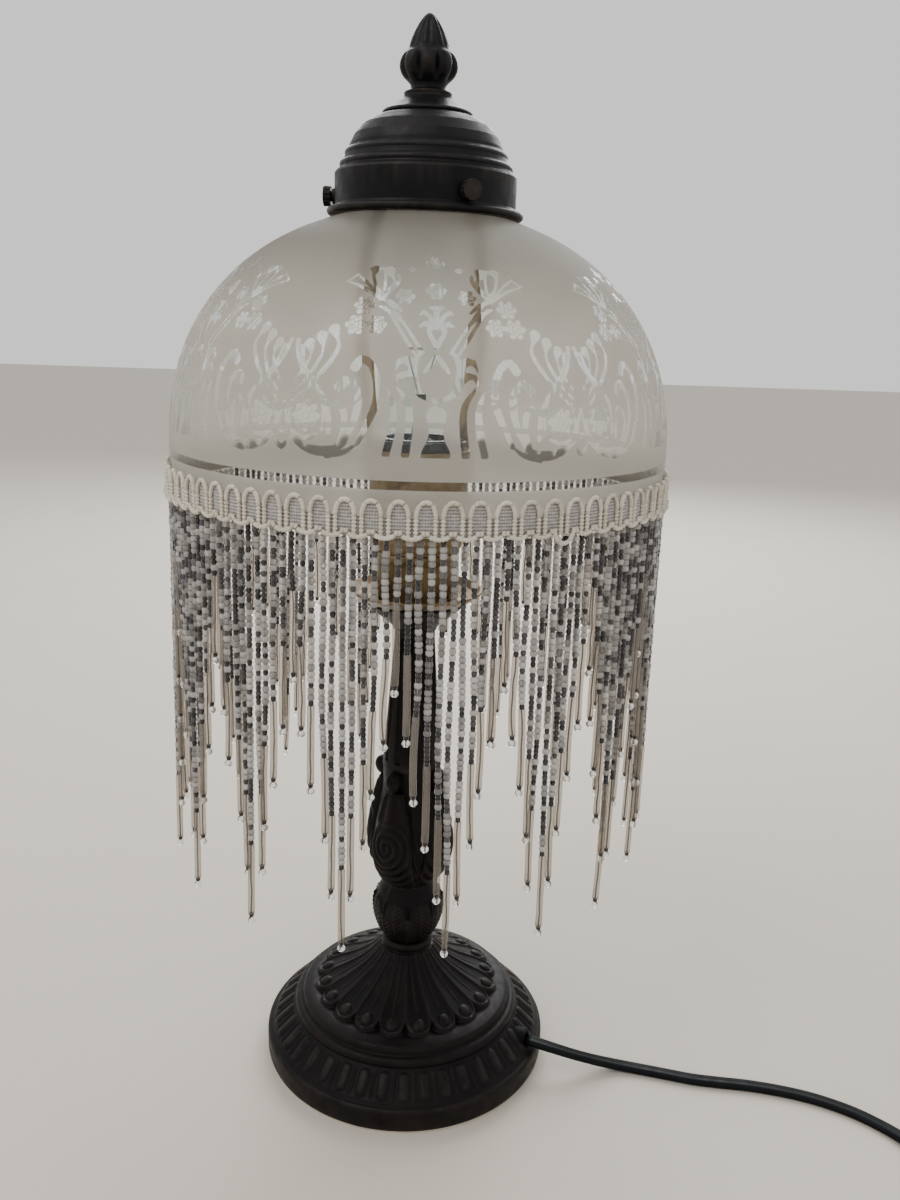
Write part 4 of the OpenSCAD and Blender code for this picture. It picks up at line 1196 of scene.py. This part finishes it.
def make_braid(band_look, cord_look):
    random.seed(11)
    pitch = 360 / BRAID_LOOPS
    columns = BRAID_LOOPS * BAND_STEPS
    rows = BAND_ROWS
    foot = BRAID_LOW + BAND_FOOT
    points, faces = [], []
    for r in range(rows):
        for c in range(columns):
            angle = BRAID_FIRST + 360 * c / columns
            across = abs((c + BAND_STEPS // 2) % BAND_STEPS - BAND_STEPS // 2) / (BAND_STEPS // 2)
            arch = math.sqrt(max(0, 1 - (across / 0.8) ** 2))
            top = BRAID_LOW + BAND_SHOULDER + BAND_ARCH * arch
            height = foot + (top - foot) * r / (rows - 1)
            puff = 0.35 * MM * (1 - across**2) + 0.1 * MM * math.sin(2 * math.pi * r / 2.4)
            points.append(on_braid(angle, BRAID_OUT - 0.3 * MM + puff, height))
    outer = len(points)
    faces = [tuple(reversed(f)) for f in grid_faces(rows, columns, closed=True)]
    for r in (0, rows - 1):
        for c in range(columns):
            p = points[r * columns + c]
            angle = math.degrees(math.atan2(p.y, p.x))
            points.append(on_braid(angle, BRAID_IN, p.z))
    inner_low, inner_high = outer, outer + columns
    for c in range(columns):
        n = (c + 1) % columns
        faces.append((c, n, inner_low + n, inner_low + c))
        top = (rows - 1) * columns
        faces.append((top + n, top + c, inner_high + c, inner_high + n))
        faces.append((inner_low + c, inner_low + n, inner_high + n, inner_high + c))
    band = new_piece("braid_band", points, faces, band_look)
    cords = Collector()
    for loop in range(BRAID_LOOPS):
        middle = BRAID_FIRST + loop * pitch
        half = pitch * ARCH_SHARE
        swell = random.uniform(0.94, 1.06)
        arch = arc_points(half, BRAID_LOW + LEG_TOP, ARCH_RISE, 1, 0, 12)
        line = [on_braid(middle + a, BRAID_OUT + 0.55 * MM, z) for a, z in arch]
        cords.add(*rope(smooth_line(line, 0.5 * MM), CORD_R * swell), tone=random.random())
        for a in (-half, half):
            heights = (BRAID_LOW + LEG_FOOT, BRAID_LOW + LEG_TOP)
            ends = [on_braid(middle + a, BRAID_OUT + 0.5 * MM, z) for z in heights]
            stitches = smooth_line(ends, 0.22 * MM)
            cords.add(*rope(stitches, LEG_R, lay=1.3 * MM, depth=0.3, strands=0), tone=random.random())
        low_middle = middle + pitch / 2
        loose = abs(low_middle - LOOSE_LOOP) < pitch / 2
        drop = LOOSE_DROP if loose else BOWL_DROP
        bowl = arc_points(pitch * BOWL_SHARE, BRAID_LOW + BOWL_TOP, drop, 1, 2, 10)
        line = [on_braid(low_middle + a, BRAID_OUT + 1.0 * MM, z) for a, z in bowl]
        cords.add(*rope(smooth_line(line, 0.5 * MM), CORD_R * swell), tone=random.random())
    corded = cords.piece("braid_cords", cord_look, "shade", "braid_cloth")
    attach(band, "shade")
    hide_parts("braid")
    return band, corded


# ---------- Stage ----------


def area_light(name, place, towards, size, watts, colour=(1, 1, 1)):
    data = bpy.data.lights.new(name, "AREA")
    data.shape = "DISK"
    data.size = size
    data.energy = watts
    data.color = colour
    light = bpy.data.objects.new(name, data)
    aim = Vector(towards) - Vector(place)
    light.matrix_world = Matrix.Translation(place) @ aim.to_track_quat("-Z", "Y").to_matrix().to_4x4()
    bpy.context.scene.collection.objects.link(light)


def make_stage():
    look = Look("floor_look")
    pale = look.mix(look.noise(9, detail=4), rgb(0.55, 0.51, 0.44), rgb(0.58, 0.54, 0.475))
    look.surface(base_color=pale, roughness=0.8)
    half = 6
    corners = [(-half, -half, 0), (half, -half, 0), (half, half, 0), (-half, half, 0)]
    floor = new_piece("floor", corners, [(0, 1, 2, 3)], look.material, smooth=False)
    world = bpy.data.worlds.new("world")
    world.use_nodes = True
    sky = world.node_tree.nodes["Background"]
    sky.inputs["Color"].default_value = rgb(0.985, 0.98, 0.975)
    sky.inputs["Strength"].default_value = 0.98
    bpy.context.scene.world = world
    middle = (0, 0, 0.25)
    area_light("key", (-0.7, -0.5, 1.5), middle, 0.9, 8, (1, 0.97, 0.93))
    area_light("rim", (0.2, 1.3, 1.1), middle, 1.4, 30)


# ---------- CAD parts ----------


def dress(names, look):
    for name in names:
        materials = nodes[name].data.materials
        materials.clear()
        materials.append(look)


def dress_cad_parts():
    bronze = aged_metal(
        "bronze_look", rgb(0.0035, 0.0028, 0.003), rgb(0.0075, 0.0052, 0.0052), rgb(0.042, 0.035, 0.032),
        0.46, metallic=0.2, specular=0.13,
    )
    gunmetal = aged_metal(
        "gunmetal_look", rgb(0.005, 0.0047, 0.0056), rgb(0.01, 0.0095, 0.011), rgb(0.06, 0.047, 0.034),
        0.45, metallic=0.3, specular=0.16,
    )
    antique = aged_metal(
        "antique_brass_look", rgb(0.1, 0.068, 0.033), rgb(0.27, 0.19, 0.1), rgb(0.48, 0.37, 0.22), 0.36
    )
    brass = aged_metal(
        "brass_look", rgb(0.6, 0.42, 0.18), rgb(0.75, 0.56, 0.27), rgb(0.85, 0.7, 0.42), 0.25
    )
    steel = aged_metal(
        "steel_look", rgb(0.42, 0.42, 0.42), rgb(0.6, 0.6, 0.6), rgb(0.75, 0.75, 0.75), 0.35
    )
    iron = aged_metal(
        "iron_look", rgb(0.05, 0.05, 0.05), rgb(0.11, 0.105, 0.1), rgb(0.2, 0.2, 0.2), 0.65, metallic=0.7
    )
    dress(["collar", "column", "cup"], bronze)
    make_base(bronze)
    make_knob(bronze)
    make_baluster(bronze)
    dress(["cap", "thumb_screw_1", "thumb_screw_2", "thumb_screw_3"], gunmetal)
    make_finial(gunmetal)
    dress(["dish", "holder_cap", "holder_shell", "harp"], antique)
    dress(
        ["stem_tube", "holder_nut", "thread_sleeve", "holder_contacts", "harp_stud", "switch_contacts"],
        brass,
    )
    dress(["cover_plate", "cover_screws", "foot_washer", "foot_nut", "filament"], steel)
    dress(["bulb_cap", "plug_pins"], steel)
    dress(["base_weight"], iron)
    dress(["holder_insulator", "shade_ring"], moulded("bakelite_look", rgb(0.012, 0.011, 0.01), 0.25))
    dress(["cord_grommet"], moulded("rubber_look", rgb(0.004, 0.004, 0.004), 0.6, specular=0.08))
    black = moulded("switch_look", rgb(0.014, 0.014, 0.015), 0.4)
    dress(["switch_base", "switch_cover", "switch_rocker", "plug_body", "coil_tie"], black)
    dress(["cord_clamp"], moulded("nylon_look", rgb(0.62, 0.59, 0.52), 0.5))
    dress(["inner_flex"], moulded("inner_flex_look", rgb(0.004, 0.0046, 0.0056), 0.45, specular=0.08))
    dress(["felt_pad"], moulded("felt_look", rgb(0.42, 0.37, 0.29), 0.9))


def make_shade():
    make_glass(etched_glass(), clear_glass("clear_glass_look", rgb(0.98, 0.985, 0.98)))
    make_fringe(
        bead_glass(
            "dark_bead_look", rgb(0.008, 0.007, 0.008), rgb(0.085, 0.075, 0.078),
            rgb(0.38, 0.36, 0.36), 0.08, rgb(0.92, 0.91, 0.9),
        ),
        bead_glass(
            "clear_bead_look", rgb(0.16, 0.15, 0.145), rgb(0.66, 0.64, 0.61),
            rgb(0.5, 0.48, 0.46), 0.4, rgb(0.92, 0.91, 0.9),
        ),
        solid_glass("drop_look", rgb(0.95, 0.94, 0.92)),
        bead_glass(
            "bugle_look", rgb(0.36, 0.32, 0.275), rgb(0.5, 0.45, 0.4),
            rgb(0.17, 0.145, 0.125), 0.7, rgb(0.88, 0.845, 0.8),
        ),
        moulded("bugle_thread_look", rgb(0.03, 0.02, 0.014), 0.6),
        moulded("thread_look", rgb(0.5, 0.47, 0.42), 0.5),
    )
    band, cords = make_braid(
        woven("braid_band_look", rgb(0.2, 0.19, 0.18), rgb(0.56, 0.53, 0.5), 900),
        corded("braid_cord_look", rgb(0.46, 0.41, 0.31), rgb(0.78, 0.73, 0.62)),
    )


make_camera()
make_cord(moulded("flex_look", rgb(0.004, 0.0046, 0.0056), 0.45, specular=0.08))
make_stage()
dress_cad_parts()
dress(["bulb_glass", "bulb_mount"], clear_glass("bulb_glass_look", rgb(0.97, 0.98, 0.98)))
make_shade()
